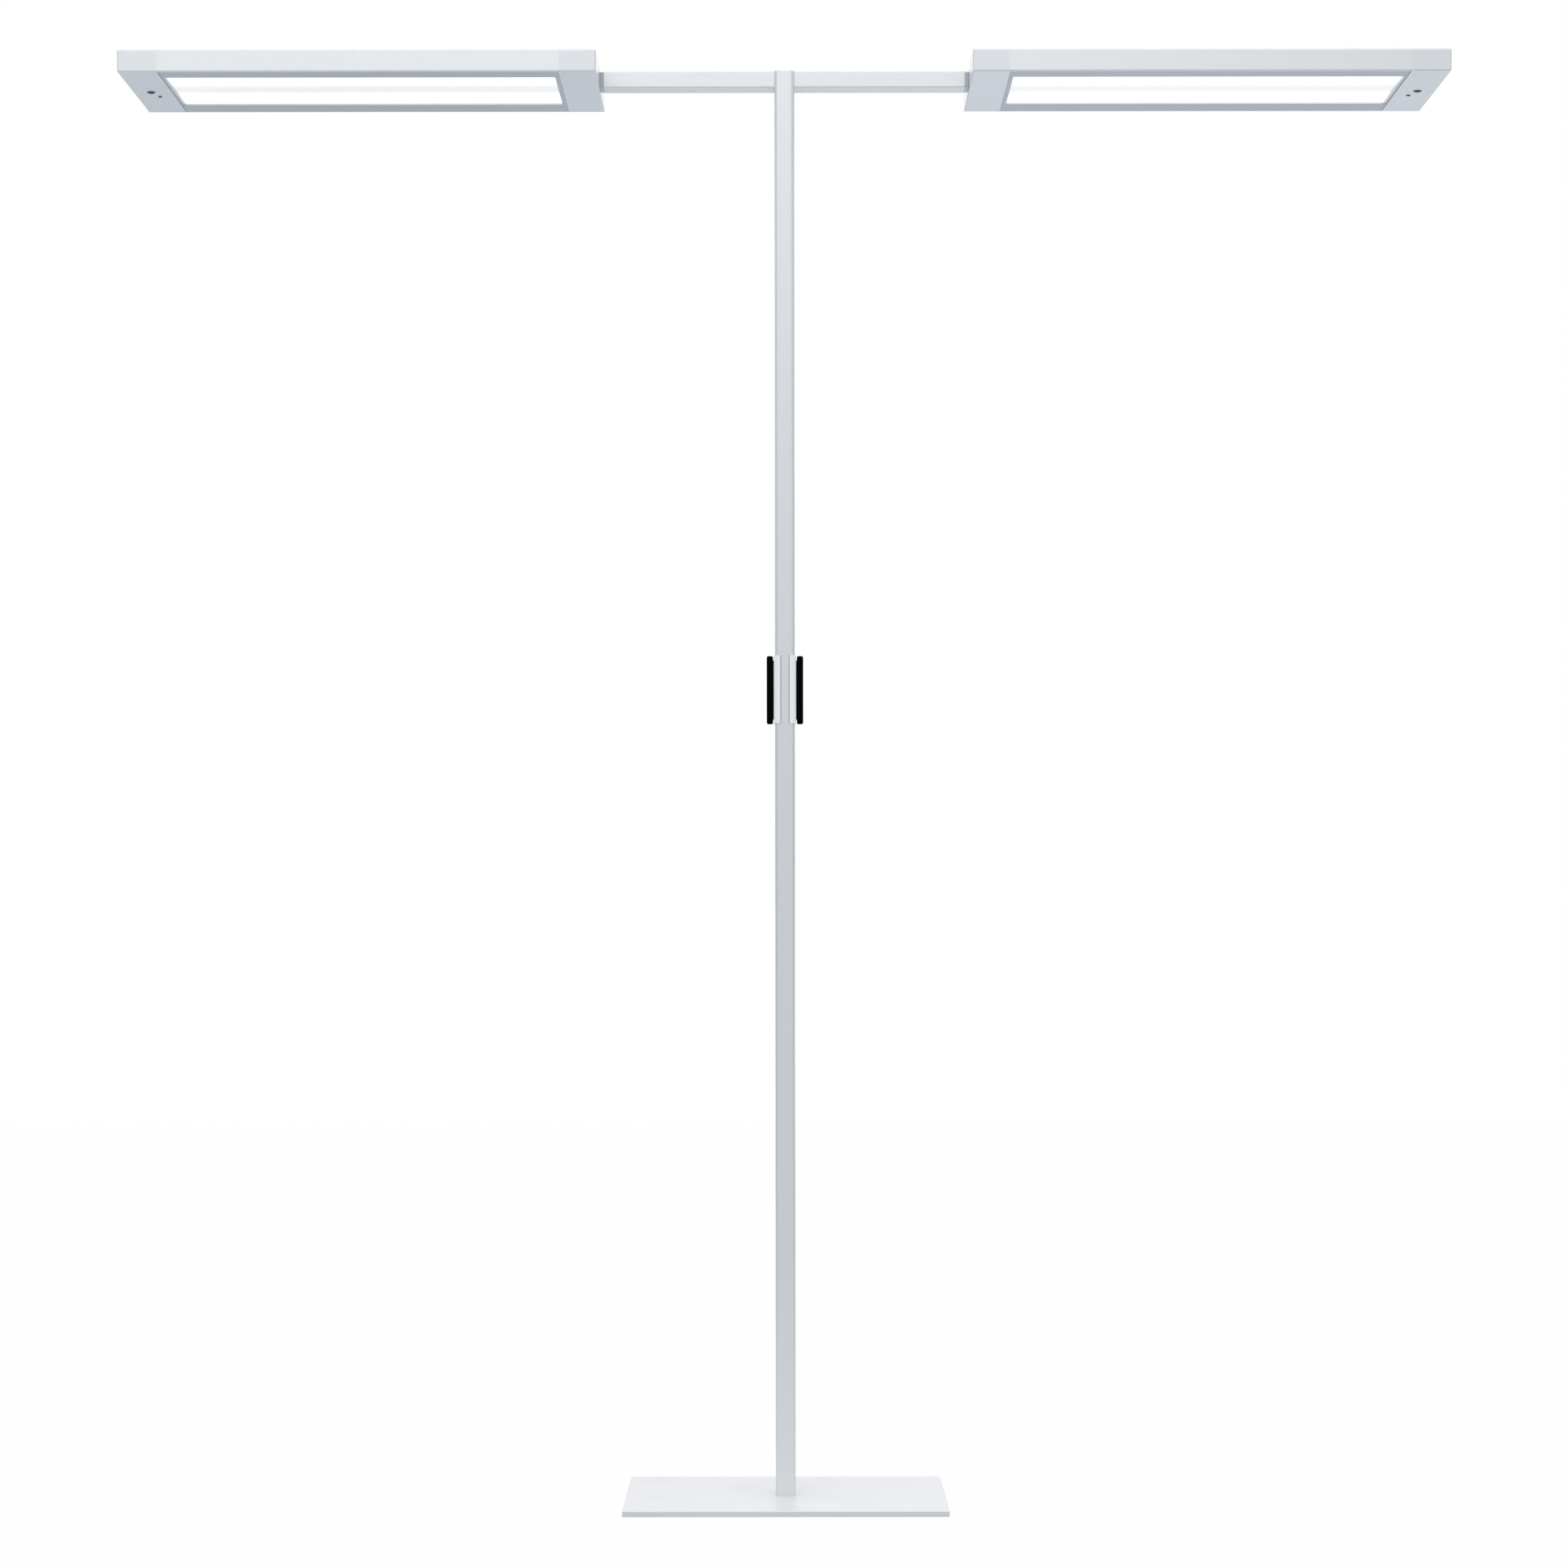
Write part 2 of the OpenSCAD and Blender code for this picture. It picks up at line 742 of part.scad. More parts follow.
module diffuser(side) {
    w = 2 * (opening + groove_depth - slip);
    color(opal) on_side(side) translate([rail_in + slip, -w / 2, arm_axis + floor_z])
        cube([rail_out - rail_in - 2 * slip, w, diffuser_t]);
}

module led_tray(side) {
    w = 2 * (half_w - chamber_w - fit);
    color(silver) on_side(side) translate([rail_in + slip, -w / 2, arm_axis + tray_z])
        cube([rail_out - rail_in - 2 * slip, w, tray_t]);
}

module led_boards(side) {
    len = rail_out - rail_in - 30;
    pitch = len / led_count;
    color(board) on_side(side) translate([rail_in + 15, 0, arm_axis]) {
        for (y = [-1, 1]) {
            translate([0, y * led_board_y - led_board_w / 2, tray_z - led_t])
                cube([len, led_board_w, led_t]);
            for (i = [0 : led_count - 1])
                translate([pitch * (i + 0.5) - 2, y * led_board_y - 2, tray_z - led_t - 0.8])
                    cube([4, 4, 0.8 + led_t / 2]);
            translate([0, y * uplight_y - 6, tray_z + tray_t]) cube([len, 12, led_t]);
        }
    }
}

module top_cover(side) {
    len = rail_out - rail_in - 2 * slip;
    leg_from = lip_l + 1;
    leg_h = ceiling_z - tray_z - tray_t;
    color(silver) on_side(side) translate([rail_in + slip, 0, arm_axis]) {
        difference() {
            translate([0, -cover_w / 2, ceiling_z]) cube([len, cover_w, flange_t]);
            for (i = [-6 : 6]) for (y = [-1, 1])
                translate([len / 2 + i * 34, y * cover_w / 5, 0]) linear_extrude(top_z + cut)
                    rounded(22, 4, 1.9);
        }
        for (y = [-1, 1]) mirror([0, y < 0 ? 1 : 0, 0]) {
            translate([leg_from, cover_w / 2 - ledge_t, tray_z + tray_t])
                cube([len - 2 * leg_from, ledge_t, leg_h + flange_t / 2]);
            translate([leg_from, cover_w / 2 - ledge_t, ceiling_z - ledge_t])
                cube([len - 2 * leg_from, 3 + ledge_t, ledge_t]);
        }
    }
}

module uplight_covers(side) {
    color(opal) on_side(side) for (y = [-1, 1])
        translate([rail_in + slip, y * uplight_y, arm_axis + ceiling_z])
            translate([0, cover_w / 4 - opening / 2 + slip, 0])
                cube([rail_out - rail_in - 2 * slip, opening - cover_w / 2 - 2 * slip, diffuser_t]);
}

module driver(side) {
    color(silver) on_side(side)
        translate([head_in + boss_len + 4, boss_d / 2 + 6, arm_axis + block_floor])
            cube([inner_block_l - boss_len - tenon_len / 2 - 2, 78, 18]);
}

module pivot_bush(side) {
    color(black) on_side(side) translate([0, 0, arm_axis]) difference() {
        union() {
            rod_x(head_in, head_in + boss_len + cut, bush_d);
            rod_x(head_in + boss_len, head_in + boss_len + bush_flange_t, bush_flange_d);
        }
        rod_x(head_in - cut, head_in + boss_len + 4, spindle_d + 2 * running);
    }
}

module head_screws(side) {
    color(steel) on_side(side)
        for (x = [rail_in + tenon_len / 2, rail_out - tenon_len / 2], y = [-1, 1])
            translate([x, y * tenon_y, arm_axis + top_z])
                countersunk_screw(small_screw_d, small_screw_head_d, small_screw_len);
}

// ---- The lamp ----

base_plate();
base_glides();
base_screws();
foot_block();
foot_set_screws();
column();
cable_gland();
wiring_loom();
crosshead();
column_cap();
cap_screws();
arm(-1);  // arm_left
arm(1);  // arm_right
arm_set_screws();
arm_plug(-1);  // arm_plug_left
arm_plug(1);  // arm_plug_right
spindle(-1);  // spindle_left
spindle(1);  // spindle_right
washer(-1);  // washer_left
washer(1);  // washer_right
pivot_nuts();
switch_cheek(-1);  // switch_cheek_left
switch_cheek(1);  // switch_cheek_right
switch_base(-1);  // switch_base_left
switch_base(1);  // switch_base_right
switch_board();
button(-1);  // button_left
button(1);  // button_right
rail(-1, -1);  // left_rail_front
rail(-1, 1);  // left_rail_back
inner_block(-1);  // left_inner_block
outer_block(-1);  // left_outer_block
top_cover(-1);  // left_top_cover
uplight_covers(-1);  // left_uplight_covers
diffuser(-1);  // left_diffuser
led_tray(-1);  // left_led_tray
led_boards(-1);  // left_led_boards
driver(-1);  // left_driver
presence_sensor(-1);  // left_presence_sensor
light_sensor(-1);  // left_light_sensor
sensor_board(-1);  // left_sensor_board
pivot_bush(-1);  // left_pivot_bush
head_screws(-1);  // left_head_screws
rail(1, -1);  // right_rail_front
rail(1, 1);  // right_rail_back
inner_block(1);  // right_inner_block
outer_block(1);  // right_outer_block
top_cover(1);  // right_top_cover
uplight_covers(1);  // right_uplight_covers
diffuser(1);  // right_diffuser
led_tray(1);  // right_led_tray
led_boards(1);  // right_led_boards
driver(1);  // right_driver
presence_sensor(1);  // right_presence_sensor
light_sensor(1);  // right_light_sensor
sensor_board(1);  // right_sensor_board
pivot_bush(1);  // right_pivot_bush
head_screws(1);  // right_head_screws
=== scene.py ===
# %% [markdown]
# # An office floor lamp with two lit heads
#
# The lamp is a slim silver column on a flat plate. Two arms at its top carry one long, flat light head
# each, and a pair of black push pads sits at hand height. The solid parts are already made to size, so
# this notebook gives them their paint, plastic and light, adds the few pieces that are too fine for the
# solids, and sets up the room and the camera.

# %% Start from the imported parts
import json
import math

import bmesh
import bpy
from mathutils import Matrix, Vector


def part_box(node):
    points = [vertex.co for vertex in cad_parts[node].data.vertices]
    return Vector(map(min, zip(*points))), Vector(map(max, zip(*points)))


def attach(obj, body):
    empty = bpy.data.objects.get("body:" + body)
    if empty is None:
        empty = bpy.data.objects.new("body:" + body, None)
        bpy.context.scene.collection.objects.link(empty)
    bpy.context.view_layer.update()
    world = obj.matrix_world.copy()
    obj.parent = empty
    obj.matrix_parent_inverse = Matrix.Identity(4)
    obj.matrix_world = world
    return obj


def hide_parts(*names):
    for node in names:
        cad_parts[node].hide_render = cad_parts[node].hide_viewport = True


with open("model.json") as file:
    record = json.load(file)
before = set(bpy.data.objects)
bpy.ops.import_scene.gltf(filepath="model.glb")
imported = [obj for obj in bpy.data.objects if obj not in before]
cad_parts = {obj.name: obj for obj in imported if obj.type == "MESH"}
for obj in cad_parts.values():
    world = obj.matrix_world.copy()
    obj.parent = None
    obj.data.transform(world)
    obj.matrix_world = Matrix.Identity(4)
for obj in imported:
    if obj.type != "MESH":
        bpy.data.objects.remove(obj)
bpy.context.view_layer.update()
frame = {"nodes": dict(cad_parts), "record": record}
parts = frame["nodes"]
MM = 0.001
SIDES = ("left", "right")

# %% [markdown]
# ## The camera
#
# The upright lines stay upright in the photograph, which fits a level camera, and its edges fit one at about
# hip height and about five metres away with a long lens. The distance is the least certain of these. The
# heads are above the camera and show their undersides, and the plate is below it and shows its top. Aiming
# the camera up would make the column lean, so the picture is shifted up instead, as a shift lens does. The
# photograph has a trace of roll, and so has this camera.

# %% Camera
PICTURE_SIDE = 1932
HORIZON_ROW = 1126.96
SENSOR = 36.0
LENS = 84.73
EYE = Vector((-1.6 * MM, -5.05, 0.80))
ROLL = math.radians(0.06)

lens = bpy.data.cameras.new("long_lens")
lens.sensor_width = SENSOR
lens.lens = LENS
lens.shift_y = (HORIZON_ROW - PICTURE_SIDE / 2) / PICTURE_SIDE
camera = bpy.data.objects.new("camera", lens)
camera.location = EYE
camera.rotation_euler = (math.pi / 2, ROLL, 0)
bpy.context.scene.collection.objects.link(camera)
bpy.context.scene.camera = camera
print("picture is shifted by", round(lens.shift_y, 4), "of its side")

# %% [markdown]
# ## Helpers for node trees
#
# Every finish below is a small tree of shader nodes, and each helper here adds one kind of node with its
# values. A recipe is a reusable group with named inputs and outputs. It is built once and placed in many
# materials, each with its own values. Writing each node out in full would bury the few numbers that matter.

# %% Node helpers
MIX_AMOUNT, MIX_FIRST, MIX_SECOND, MIX_RESULT = 0, 6, 7, 2
SCALE_BY = 3
MIDDLE = 0.5
NOISE_LOW, NOISE_HIGH = 0.3, 0.7


def add(tree, kind, values=None, **settings):
    """Adds a node, sets its own settings, and gives its inputs plain values or links."""
    node = tree.nodes.new(kind)
    for name, value in settings.items():
        setattr(node, name, value)
    for name, value in (values or {}).items():
        if isinstance(value, bpy.types.NodeSocket):
            tree.links.new(value, node.inputs[name])
        else:
            node.inputs[name].default_value = value
    return node


def new_recipe(name, inputs, outputs):
    """Makes a node group. Inputs are (label, kind, start value) and outputs (label, kind)."""
    group = bpy.data.node_groups.new(name, "ShaderNodeTree")
    for label, kind, value in inputs:
        socket = group.interface.new_socket(name=label, in_out="INPUT", socket_type="NodeSocket" + kind)
        socket.default_value = value
    for label, kind in outputs:
        group.interface.new_socket(name=label, in_out="OUTPUT", socket_type="NodeSocket" + kind)
    return group, group.nodes.new("NodeGroupInput").outputs, group.nodes.new("NodeGroupOutput").inputs


def use_recipe(tree, group, values=None):
    """Places a recipe in a material and returns what it puts out."""
    return add(tree, "ShaderNodeGroup", values, node_tree=group).outputs


def maths(tree, work, first, second=0.5, third=0.0, clamp=False):
    """One arithmetic node."""
    values = {0: first, 1: second, 2: third}
    return add(tree, "ShaderNodeMath", values, operation=work, use_clamp=clamp).outputs[0]


def swing(tree, pattern, amount, rest=0.0):
    """A resting value that a pattern moves up and down by an amount."""
    off_middle = maths(tree, "SUBTRACT", pattern, MIDDLE)
    return maths(tree, "MULTIPLY_ADD", off_middle, amount, rest)


def remap(tree, value, from_low, from_high, to_low=0.0, to_high=1.0):
    """Turns one range of numbers into another, without leaving it."""
    values = {"Value": value, "From Min": from_low, "From Max": from_high}
    values.update({"To Min": to_low, "To Max": to_high})
    return add(tree, "ShaderNodeMapRange", values).outputs[0]


def blend_colours(tree, amount, first, second):
    """Mixes two colours."""
    values = {MIX_AMOUNT: amount, MIX_FIRST: first, MIX_SECOND: second}
    return add(tree, "ShaderNodeMix", values, data_type="RGBA").outputs[MIX_RESULT]


def scale_colour(tree, colour, level):
    """Makes a colour lighter or darker by a factor."""
    return add(tree, "ShaderNodeVectorMath", {0: colour, SCALE_BY: level}, operation="SCALE").outputs[0]


def warm_glow(tree, level, warmth):
    """Grey light of some level with a little less blue in it."""
    blue = maths(tree, "MULTIPLY", level, warmth)
    return add(tree, "ShaderNodeCombineColor", {0: level, 1: level, 2: blue}).outputs[0]


def axes(tree, vector):
    """Splits a vector into X, Y and Z."""
    return add(tree, "ShaderNodeSeparateXYZ", {0: vector}).outputs


def upward_part(tree):
    """How far the surface faces up: 1 on top, 0 on an upright side, -1 below."""
    return axes(tree, add(tree, "ShaderNodeNewGeometry").outputs["Normal"])["Z"]


def place_on_part(tree, stretch=(1.0, 1.0, 1.0)):
    """The place on the part in metres, so a pattern keeps its real size and moves with the part."""
    where = add(tree, "ShaderNodeTexCoord").outputs["Object"]
    return add(tree, "ShaderNodeMapping", {"Vector": where, "Scale": stretch}).outputs[0]


def noise(tree, where, scale, detail=2.0, rough=0.5):
    """A cloudy pattern around one half."""
    values = {"Vector": where, "Scale": scale, "Detail": detail, "Roughness": rough}
    return add(tree, "ShaderNodeTexNoise", values).outputs[0]


def cell_pattern(tree, where, scale, randomness=1.0, feature="F1"):
    """Small cells, each with its own colour and the distance to its middle."""
    values = {"Vector": where, "Scale": scale, "Randomness": randomness}
    return add(tree, "ShaderNodeTexVoronoi", values, feature=feature).outputs


def is_seen(tree):
    """1 where the camera looks straight at a surface, 0 for light that bounces."""
    return add(tree, "ShaderNodeLightPath").outputs["Is Camera Ray"]


def grey(level):
    return (level, level, level, 1.0)


print("node helpers are ready")

# %% [markdown]
# ## The floor
#
# The photograph is a cut-out on plain white. The floor is therefore a plain pale sheet that the camera sees
# as almost white, with only a trace of the plate's shadow. What it bounces is dimmer, or the undersides of
# the heads would be as bright as their fronts, and a little cool, because they look bluish in the
# photograph. A dark backdrop would be simpler to light, but its edge would show in the other views.

# %% Floor
FLOOR_HALF = 9.0
FLOOR_CUTS = 12
FLOOR_BOUNCE = 0.73
FLOOR_SEEN = 0.98
FLOOR_TINT = (0.935, 0.985, 1.045)
MOTTLE_SCALE = 3.0
MOTTLE_DETAIL = 3.0
MOTTLE_SWING = 0.02

floor_mesh = bpy.data.meshes.new("floor")
shape = bmesh.new()
bmesh.ops.create_grid(shape, x_segments=FLOOR_CUTS, y_segments=FLOOR_CUTS, size=FLOOR_HALF)
shape.to_mesh(floor_mesh)
shape.free()
floor = bpy.data.objects.new("floor", floor_mesh)
bpy.context.scene.collection.objects.link(floor)

floor_paint = bpy.data.materials.new("pale_floor")
floor_paint.use_nodes = True
tree = floor_paint.node_tree
tree.nodes.remove(tree.nodes["Principled BSDF"])
mottle = noise(tree, place_on_part(tree), MOTTLE_SCALE, MOTTLE_DETAIL)
darkest, lightest = FLOOR_BOUNCE - MOTTLE_SWING, FLOOR_BOUNCE + MOTTLE_SWING
tone = remap(tree, mottle, NOISE_LOW, NOISE_HIGH, darkest, lightest)
bounce = add(tree, "ShaderNodeBsdfDiffuse", {"Color": scale_colour(tree, FLOOR_TINT, tone)}).outputs[0]
seen = add(tree, "ShaderNodeEmission", {"Color": grey(1.0), "Strength": 1.0}).outputs[0]
share = maths(tree, "MULTIPLY", is_seen(tree), FLOOR_SEEN)
sheet = add(tree, "ShaderNodeMixShader", {0: share, 1: bounce, 2: seen}).outputs[0]
tree.links.new(sheet, tree.nodes["Material Output"].inputs["Surface"])
floor_mesh.materials.append(floor_paint)
print("floor is", 2 * FLOOR_HALF, "m wide")

# %% [markdown]
# ## The room
#
# The paint mirrors the room softly, so the room's own gradient shades the lamp. A table of steps gives the
# tone from straight down (0) over level (0.5) to straight up (1): brightest a little above level, where the
# fronts near the lamp's top mirror it. The sides are darker low down and lighter high up, which shades the
# column's round edges more and more towards its foot. One even white would leave the column flat.

# %% Room light
ROOM_STEPS = (
    (0.0, 0.56),
    (0.42, 0.60),
    (0.49, 0.51),
    (0.54, 0.69),
    (0.60, 0.93),
    (0.68, 0.95),
    (0.82, 0.66),
    (1.0, 0.62),
)
ROOM_TINT = (0.985, 0.995, 1.0)
ROOM_POWER = 1.05
SIDE_FROM = 0.45
SIDE_LOW = 0.28
SIDE_HIGH = 0.95
SIDE_LOW_AT = 0.02
SIDE_HIGH_AT = 0.22

room = bpy.data.worlds.new("white_room")
bpy.context.scene.world = room
room.use_nodes = True
tree = room.node_tree
tree.nodes.clear()
split = axes(tree, add(tree, "ShaderNodeTexCoord").outputs["Generated"])
ramp = add(tree, "ShaderNodeValToRGB", {0: maths(tree, "MULTIPLY_ADD", split["Z"], MIDDLE, MIDDLE)})
while len(ramp.color_ramp.elements) < len(ROOM_STEPS):
    ramp.color_ramp.elements.new(1.0)
for stop, (place, level) in zip(ramp.color_ramp.elements, ROOM_STEPS):
    stop.position = place
    stop.color = (level * ROOM_TINT[0], level * ROOM_TINT[1], level * ROOM_TINT[2], 1.0)
low_tone, high_tone = ROOM_POWER * SIDE_LOW, ROOM_POWER * SIDE_HIGH
side_level = remap(tree, split["Z"], SIDE_LOW_AT, SIDE_HIGH_AT, low_tone, high_tone)
sideways = maths(tree, "ABSOLUTE", split["X"])
side_tone = remap(tree, sideways, SIDE_FROM, 1.0, ROOM_POWER, side_level)
soft = add(tree, "ShaderNodeBackground", {"Color": ramp.outputs[0], "Strength": side_tone}).outputs[0]
white = add(tree, "ShaderNodeBackground", {"Color": grey(1.0), "Strength": 1.0}).outputs[0]
both = add(tree, "ShaderNodeMixShader", {0: is_seen(tree), 1: soft, 2: white}).outputs[0]
add(tree, "ShaderNodeOutputWorld", {"Surface": both})
bpy.context.scene.view_settings.view_transform = "Standard"
print("room steps:", len(ROOM_STEPS))

# %% [markdown]
# ## Studio lamps
#
# Seven soft boxes do the rest, as in a product studio: a big one overhead for the plate and the tops, a big
# one high in front for the fronts, one at each side for the column's edges, one behind to fill the shadow
# in front of the column, and two small ones low behind that lift the heads' undersides. The right one of
# these is stronger, because the right head is lighter below in the photograph. Their places and watts, and
# the steps of the room, were set one by one until this one view came near the photograph.

# %% Soft boxes
SOFT_BOXES = (
    # name, place, aimed at, width and height in m, watts
    ("light_overhead", (0.0, -0.4, 4.6), (0.0, 0.0, 0.0), 4.0, 3.0, 43.0),
    ("light_front_high", (-1.2, -6.4, 4.2), (-0.3, 0.0, 2.0), 5.4, 2.4, 43.4),
    ("light_left_edge", (-3.4, 1.8, 1.95), (0.0, 0.0, 1.7), 0.8, 1.5, 3.4),
    ("light_right_edge", (3.4, 1.8, 1.95), (0.0, 0.0, 1.7), 0.8, 1.5, 2.8),
    ("light_back", (0.0, 5.0, 2.8), (0.0, 0.0, 1.4), 3.0, 1.6, 12.0),
    ("light_below_left", (-1.6, 2.2, 0.6), (-0.9, 0.0, 1.9), 0.8, 0.6, 1.3),
    ("light_below_right", (0.78, 2.2, 0.6), (0.5, 0.0, 1.9), 2.3, 0.6, 6.1),
)

for name, place, target, width, height, watts in SOFT_BOXES:
    light = bpy.data.lights.new(name, "AREA")
    light.shape = "RECTANGLE"
    light.size = width
    light.size_y = height
    light.energy = watts
    box = bpy.data.objects.new(name, light)
    box.location = place
    box.rotation_euler = (Vector(target) - Vector(place)).to_track_quat("-Z", "Y").to_euler()
    box.visible_camera = False
    bpy.context.scene.collection.objects.link(box)
print("studio lamps:", len(SOFT_BOXES))

# %% [markdown]
# ## Recipe: powder coat
#
# Most of the lamp is sprayed with dry powder and baked. The film flows out to a fine orange peel with tiny
# metallic flakes in it. Noise at two sizes gives the peel and the slow drift of tone, and a cell pattern a
# third of a millimetre wide gives the flakes. An image would tile and blur close up, and this does not.

# %% Powder coat recipe
PEEL_ROUGH = 0.45
DRIFT_SCALE = 5.0
DRIFT_DETAIL = 4.0
PEEL_GLOSS = 0.16
FLAKE_GLOSS = -0.05

powder, given, made = new_recipe(
    "powder_coat",
    [
        ("Colour", "Color", grey(0.75)),
        ("Peel Size", "Float", 1.1 * MM),
        ("Flake Size", "Float", 0.35 * MM),
        ("Flake Strength", "Float", 0.06),
        ("Drift", "Float", 0.03),
        ("Roughness", "Float", 0.4),
    ],
    [("Colour", "Color"), ("Roughness", "Float"), ("Height", "Float")],
)
where = place_on_part(powder)
peel = noise(powder, where, maths(powder, "DIVIDE", 1.0, given["Peel Size"]), rough=PEEL_ROUGH)
cells = cell_pattern(powder, where, maths(powder, "DIVIDE", 1.0, given["Flake Size"]))
flake = add(powder, "ShaderNodeSeparateColor", {0: cells["Color"]}).outputs[0]
slow = noise(powder, where, DRIFT_SCALE, DRIFT_DETAIL)
level = swing(powder, slow, given["Drift"], swing(powder, flake, given["Flake Strength"], 1.0))
powder.links.new(scale_colour(powder, given["Colour"], level), made["Colour"])
gloss = swing(powder, peel, PEEL_GLOSS, given["Roughness"])
powder.links.new(maths(powder, "MULTIPLY_ADD", flake, FLAKE_GLOSS, gloss), made["Roughness"])
powder.links.new(peel, made["Height"])
print("recipe:", powder.name)

# %% [markdown]
# ## Recipe: edge wear
#
# Paint is thinner on a sharp edge, and hands polish it, so edges look a little lighter and smoother. The
# Bevel node rounds the surface's direction near an edge. Where that differs from the true direction, there
# is an edge. A patchy noise breaks the line up, because wear is never even.

# %% Edge wear recipe
BEVEL_SAMPLES = 4
FLAT_FACE = 0.995
SHARP_EDGE = 0.86
PATCH_LOW = 0.35
PATCH_HIGH = 0.6
PATCH_LEAST = 0.35

wear, given, made = new_recipe(
    "edge_wear",
    [("Width", "Float", 0.8 * MM), ("Patchiness", "Float", 60.0)],
    [("Mask", "Float")],
)
rounded = add(wear, "ShaderNodeBevel", {"Radius": given["Width"]}, samples=BEVEL_SAMPLES).outputs[0]
true_face = add(wear, "ShaderNodeNewGeometry").outputs["True Normal"]
likeness = add(wear, "ShaderNodeVectorMath", {0: rounded, 1: true_face}, operation="DOT_PRODUCT")
edge = remap(wear, likeness.outputs["Value"], FLAT_FACE, SHARP_EDGE)
cloud = noise(wear, place_on_part(wear), given["Patchiness"])
patches = remap(wear, cloud, PATCH_LOW, PATCH_HIGH, PATCH_LEAST, 1.0)
wear.links.new(maths(wear, "MULTIPLY", edge, patches), made["Mask"])
print("recipe:", wear.name)

# %% [markdown]
# ## Recipe: dust
#
# A lamp that stands in an office gathers a thin film on what faces up. The mask is the upward part of the
# surface's direction, times a cloudy noise with fine specks in it.

# %% Dust recipe
DUST_SLOPE = 0.7
DUST_SCALE = 14.0
DUST_DETAIL = 7.0
DUST_ROUGH = 0.72
DUST_LOW = 0.35
DUST_HIGH = 0.75

dust, given, made = new_recipe("settled_dust", [("Amount", "Float", 0.1)], [("Mask", "Float")])
cloud = noise(dust, place_on_part(dust), DUST_SCALE, DUST_DETAIL, DUST_ROUGH)
lying = remap(dust, upward_part(dust), DUST_SLOPE, 1.0)
film = maths(dust, "MULTIPLY", lying, remap(dust, cloud, DUST_LOW, DUST_HIGH))
dust.links.new(maths(dust, "MULTIPLY", film, given["Amount"]), made["Mask"])
print("recipe:", dust.name)

# %% [markdown]
# ## Recipe: die lines
#
# The column, the arms and the heads' rails are pressed through a die, which leaves faint straight lines
# along their length that the paint doesn't quite fill. A noise that is stretched along the part gives them:
# thin across it, endless along it.

# %% Die line recipe
DIE_DETAIL = 5.0
DIE_ROUGH = 0.65

die_lines, given, made = new_recipe(
    "die_lines",
    [("Stretch", "Vector", (1.0, 1.0, 1.0)), ("Strength", "Float", 0.02)],
    [("Tone", "Float"), ("Height", "Float")],
)
streak = noise(die_lines, place_on_part(die_lines, given["Stretch"]), 1.0, DIE_DETAIL, DIE_ROUGH)
die_lines.links.new(swing(die_lines, streak, given["Strength"], 1.0), made["Tone"])
die_lines.links.new(streak, made["Height"])
print("recipe:", die_lines.name)

# %% [markdown]
# ## Recipe: moulded grain
#
# Moulds for visible plastic are etched, so that the plastic comes out with a fine, even grain that hides
# scratches. Small cells give the grain's height, and a noise varies the gloss a little, as fingers do.

# %% Moulded grain recipe
GRAIN_RANDOM = 0.9
SMUDGE_SCALE = 38.0
SMUDGE_DETAIL = 5.0
SMUDGE_GLOSS = 0.18
CELL_SHARE = 0.4

grain, given, made = new_recipe(
    "moulded_grain",
    [
        ("Colour", "Color", grey(0.5)),
        ("Size", "Float", 0.5 * MM),
        ("Roughness", "Float", 0.5),
        ("Drift", "Float", 0.06),
    ],
    [("Colour", "Color"), ("Roughness", "Float"), ("Height", "Float")],
)
where = place_on_part(grain)
fineness = maths(grain, "DIVIDE", 1.0, given["Size"])
cells = cell_pattern(grain, where, fineness, GRAIN_RANDOM, "SMOOTH_F1")["Distance"]
smudge = noise(grain, where, SMUDGE_SCALE, SMUDGE_DETAIL)
level = swing(grain, smudge, given["Drift"], 1.0)
level = maths(grain, "MULTIPLY_ADD", cells, maths(grain, "MULTIPLY", given["Drift"], CELL_SHARE), level)
grain.links.new(scale_colour(grain, given["Colour"], level), made["Colour"])
grain.links.new(swing(grain, smudge, SMUDGE_GLOSS, given["Roughness"]), made["Roughness"])
grain.links.new(cells, made["Height"])
print("recipe:", grain.name)

# %% [markdown]
# ## Silver paint
#
# Column, arms, rails and end blocks share one silver-grey paint. It isn't bare metal: the flakes in it make
# it half metallic, so it takes on a soft picture of the room and gets darker where the room is darker. The
# recipes are stacked: coat, die lines, worn edges, dust. The die lines run up the column and across the
# arms and rails, and the cast blocks and the plate have none to speak of.
#
# Two things are local, and both are painted light read from tones in the photograph. The column gets paler
# over its lowest third of a metre: a painted glow for the light that the floor throws back onto its foot.
# The plate's upright edges, with the thin dark line along its front, are darker than its top: painted shade.

# %% Silver paint
SILVER = (0.736, 0.750, 0.766, 1.0)
BLOCK_SILVER = (0.722, 0.742, 0.772, 1.0)
PLATE_SILVER = (0.822, 0.825, 0.850, 1.0)
WORN_SILVER = (0.860, 0.865, 0.870, 1.0)
DUST_GREY = (0.640, 0.625, 0.600, 1.0)
# Painted light and shade: a paler tone for the column's foot and a darker one for the plate's upright edges.
FOOT_GLOW_PAINT = (0.900, 0.915, 0.930, 1.0)
EDGE_SHADE_TONE = (0.715, 0.718, 0.735, 1.0)
UPRIGHT = (1400.0, 1400.0, 1.5)
ACROSS = (1.5, 1400.0, 1400.0)
UNDRAWN = (220.0, 220.0, 220.0)
GLOW_FROM = 0.34
GLOW_FULL = 0.05
TOP_FACE = 0.6
SIDE_FACE = 0.2
PAINT_WEAR = 0.35
PAINT_DUST = 0.12
WEAR_GLOSS = -0.08
DUST_GLOSS = 0.5
LINE_RELIEF = 4.0
PAINT_RELIEF = 0.015 * MM
PAINT_BUMP = 0.6
finishes = {}


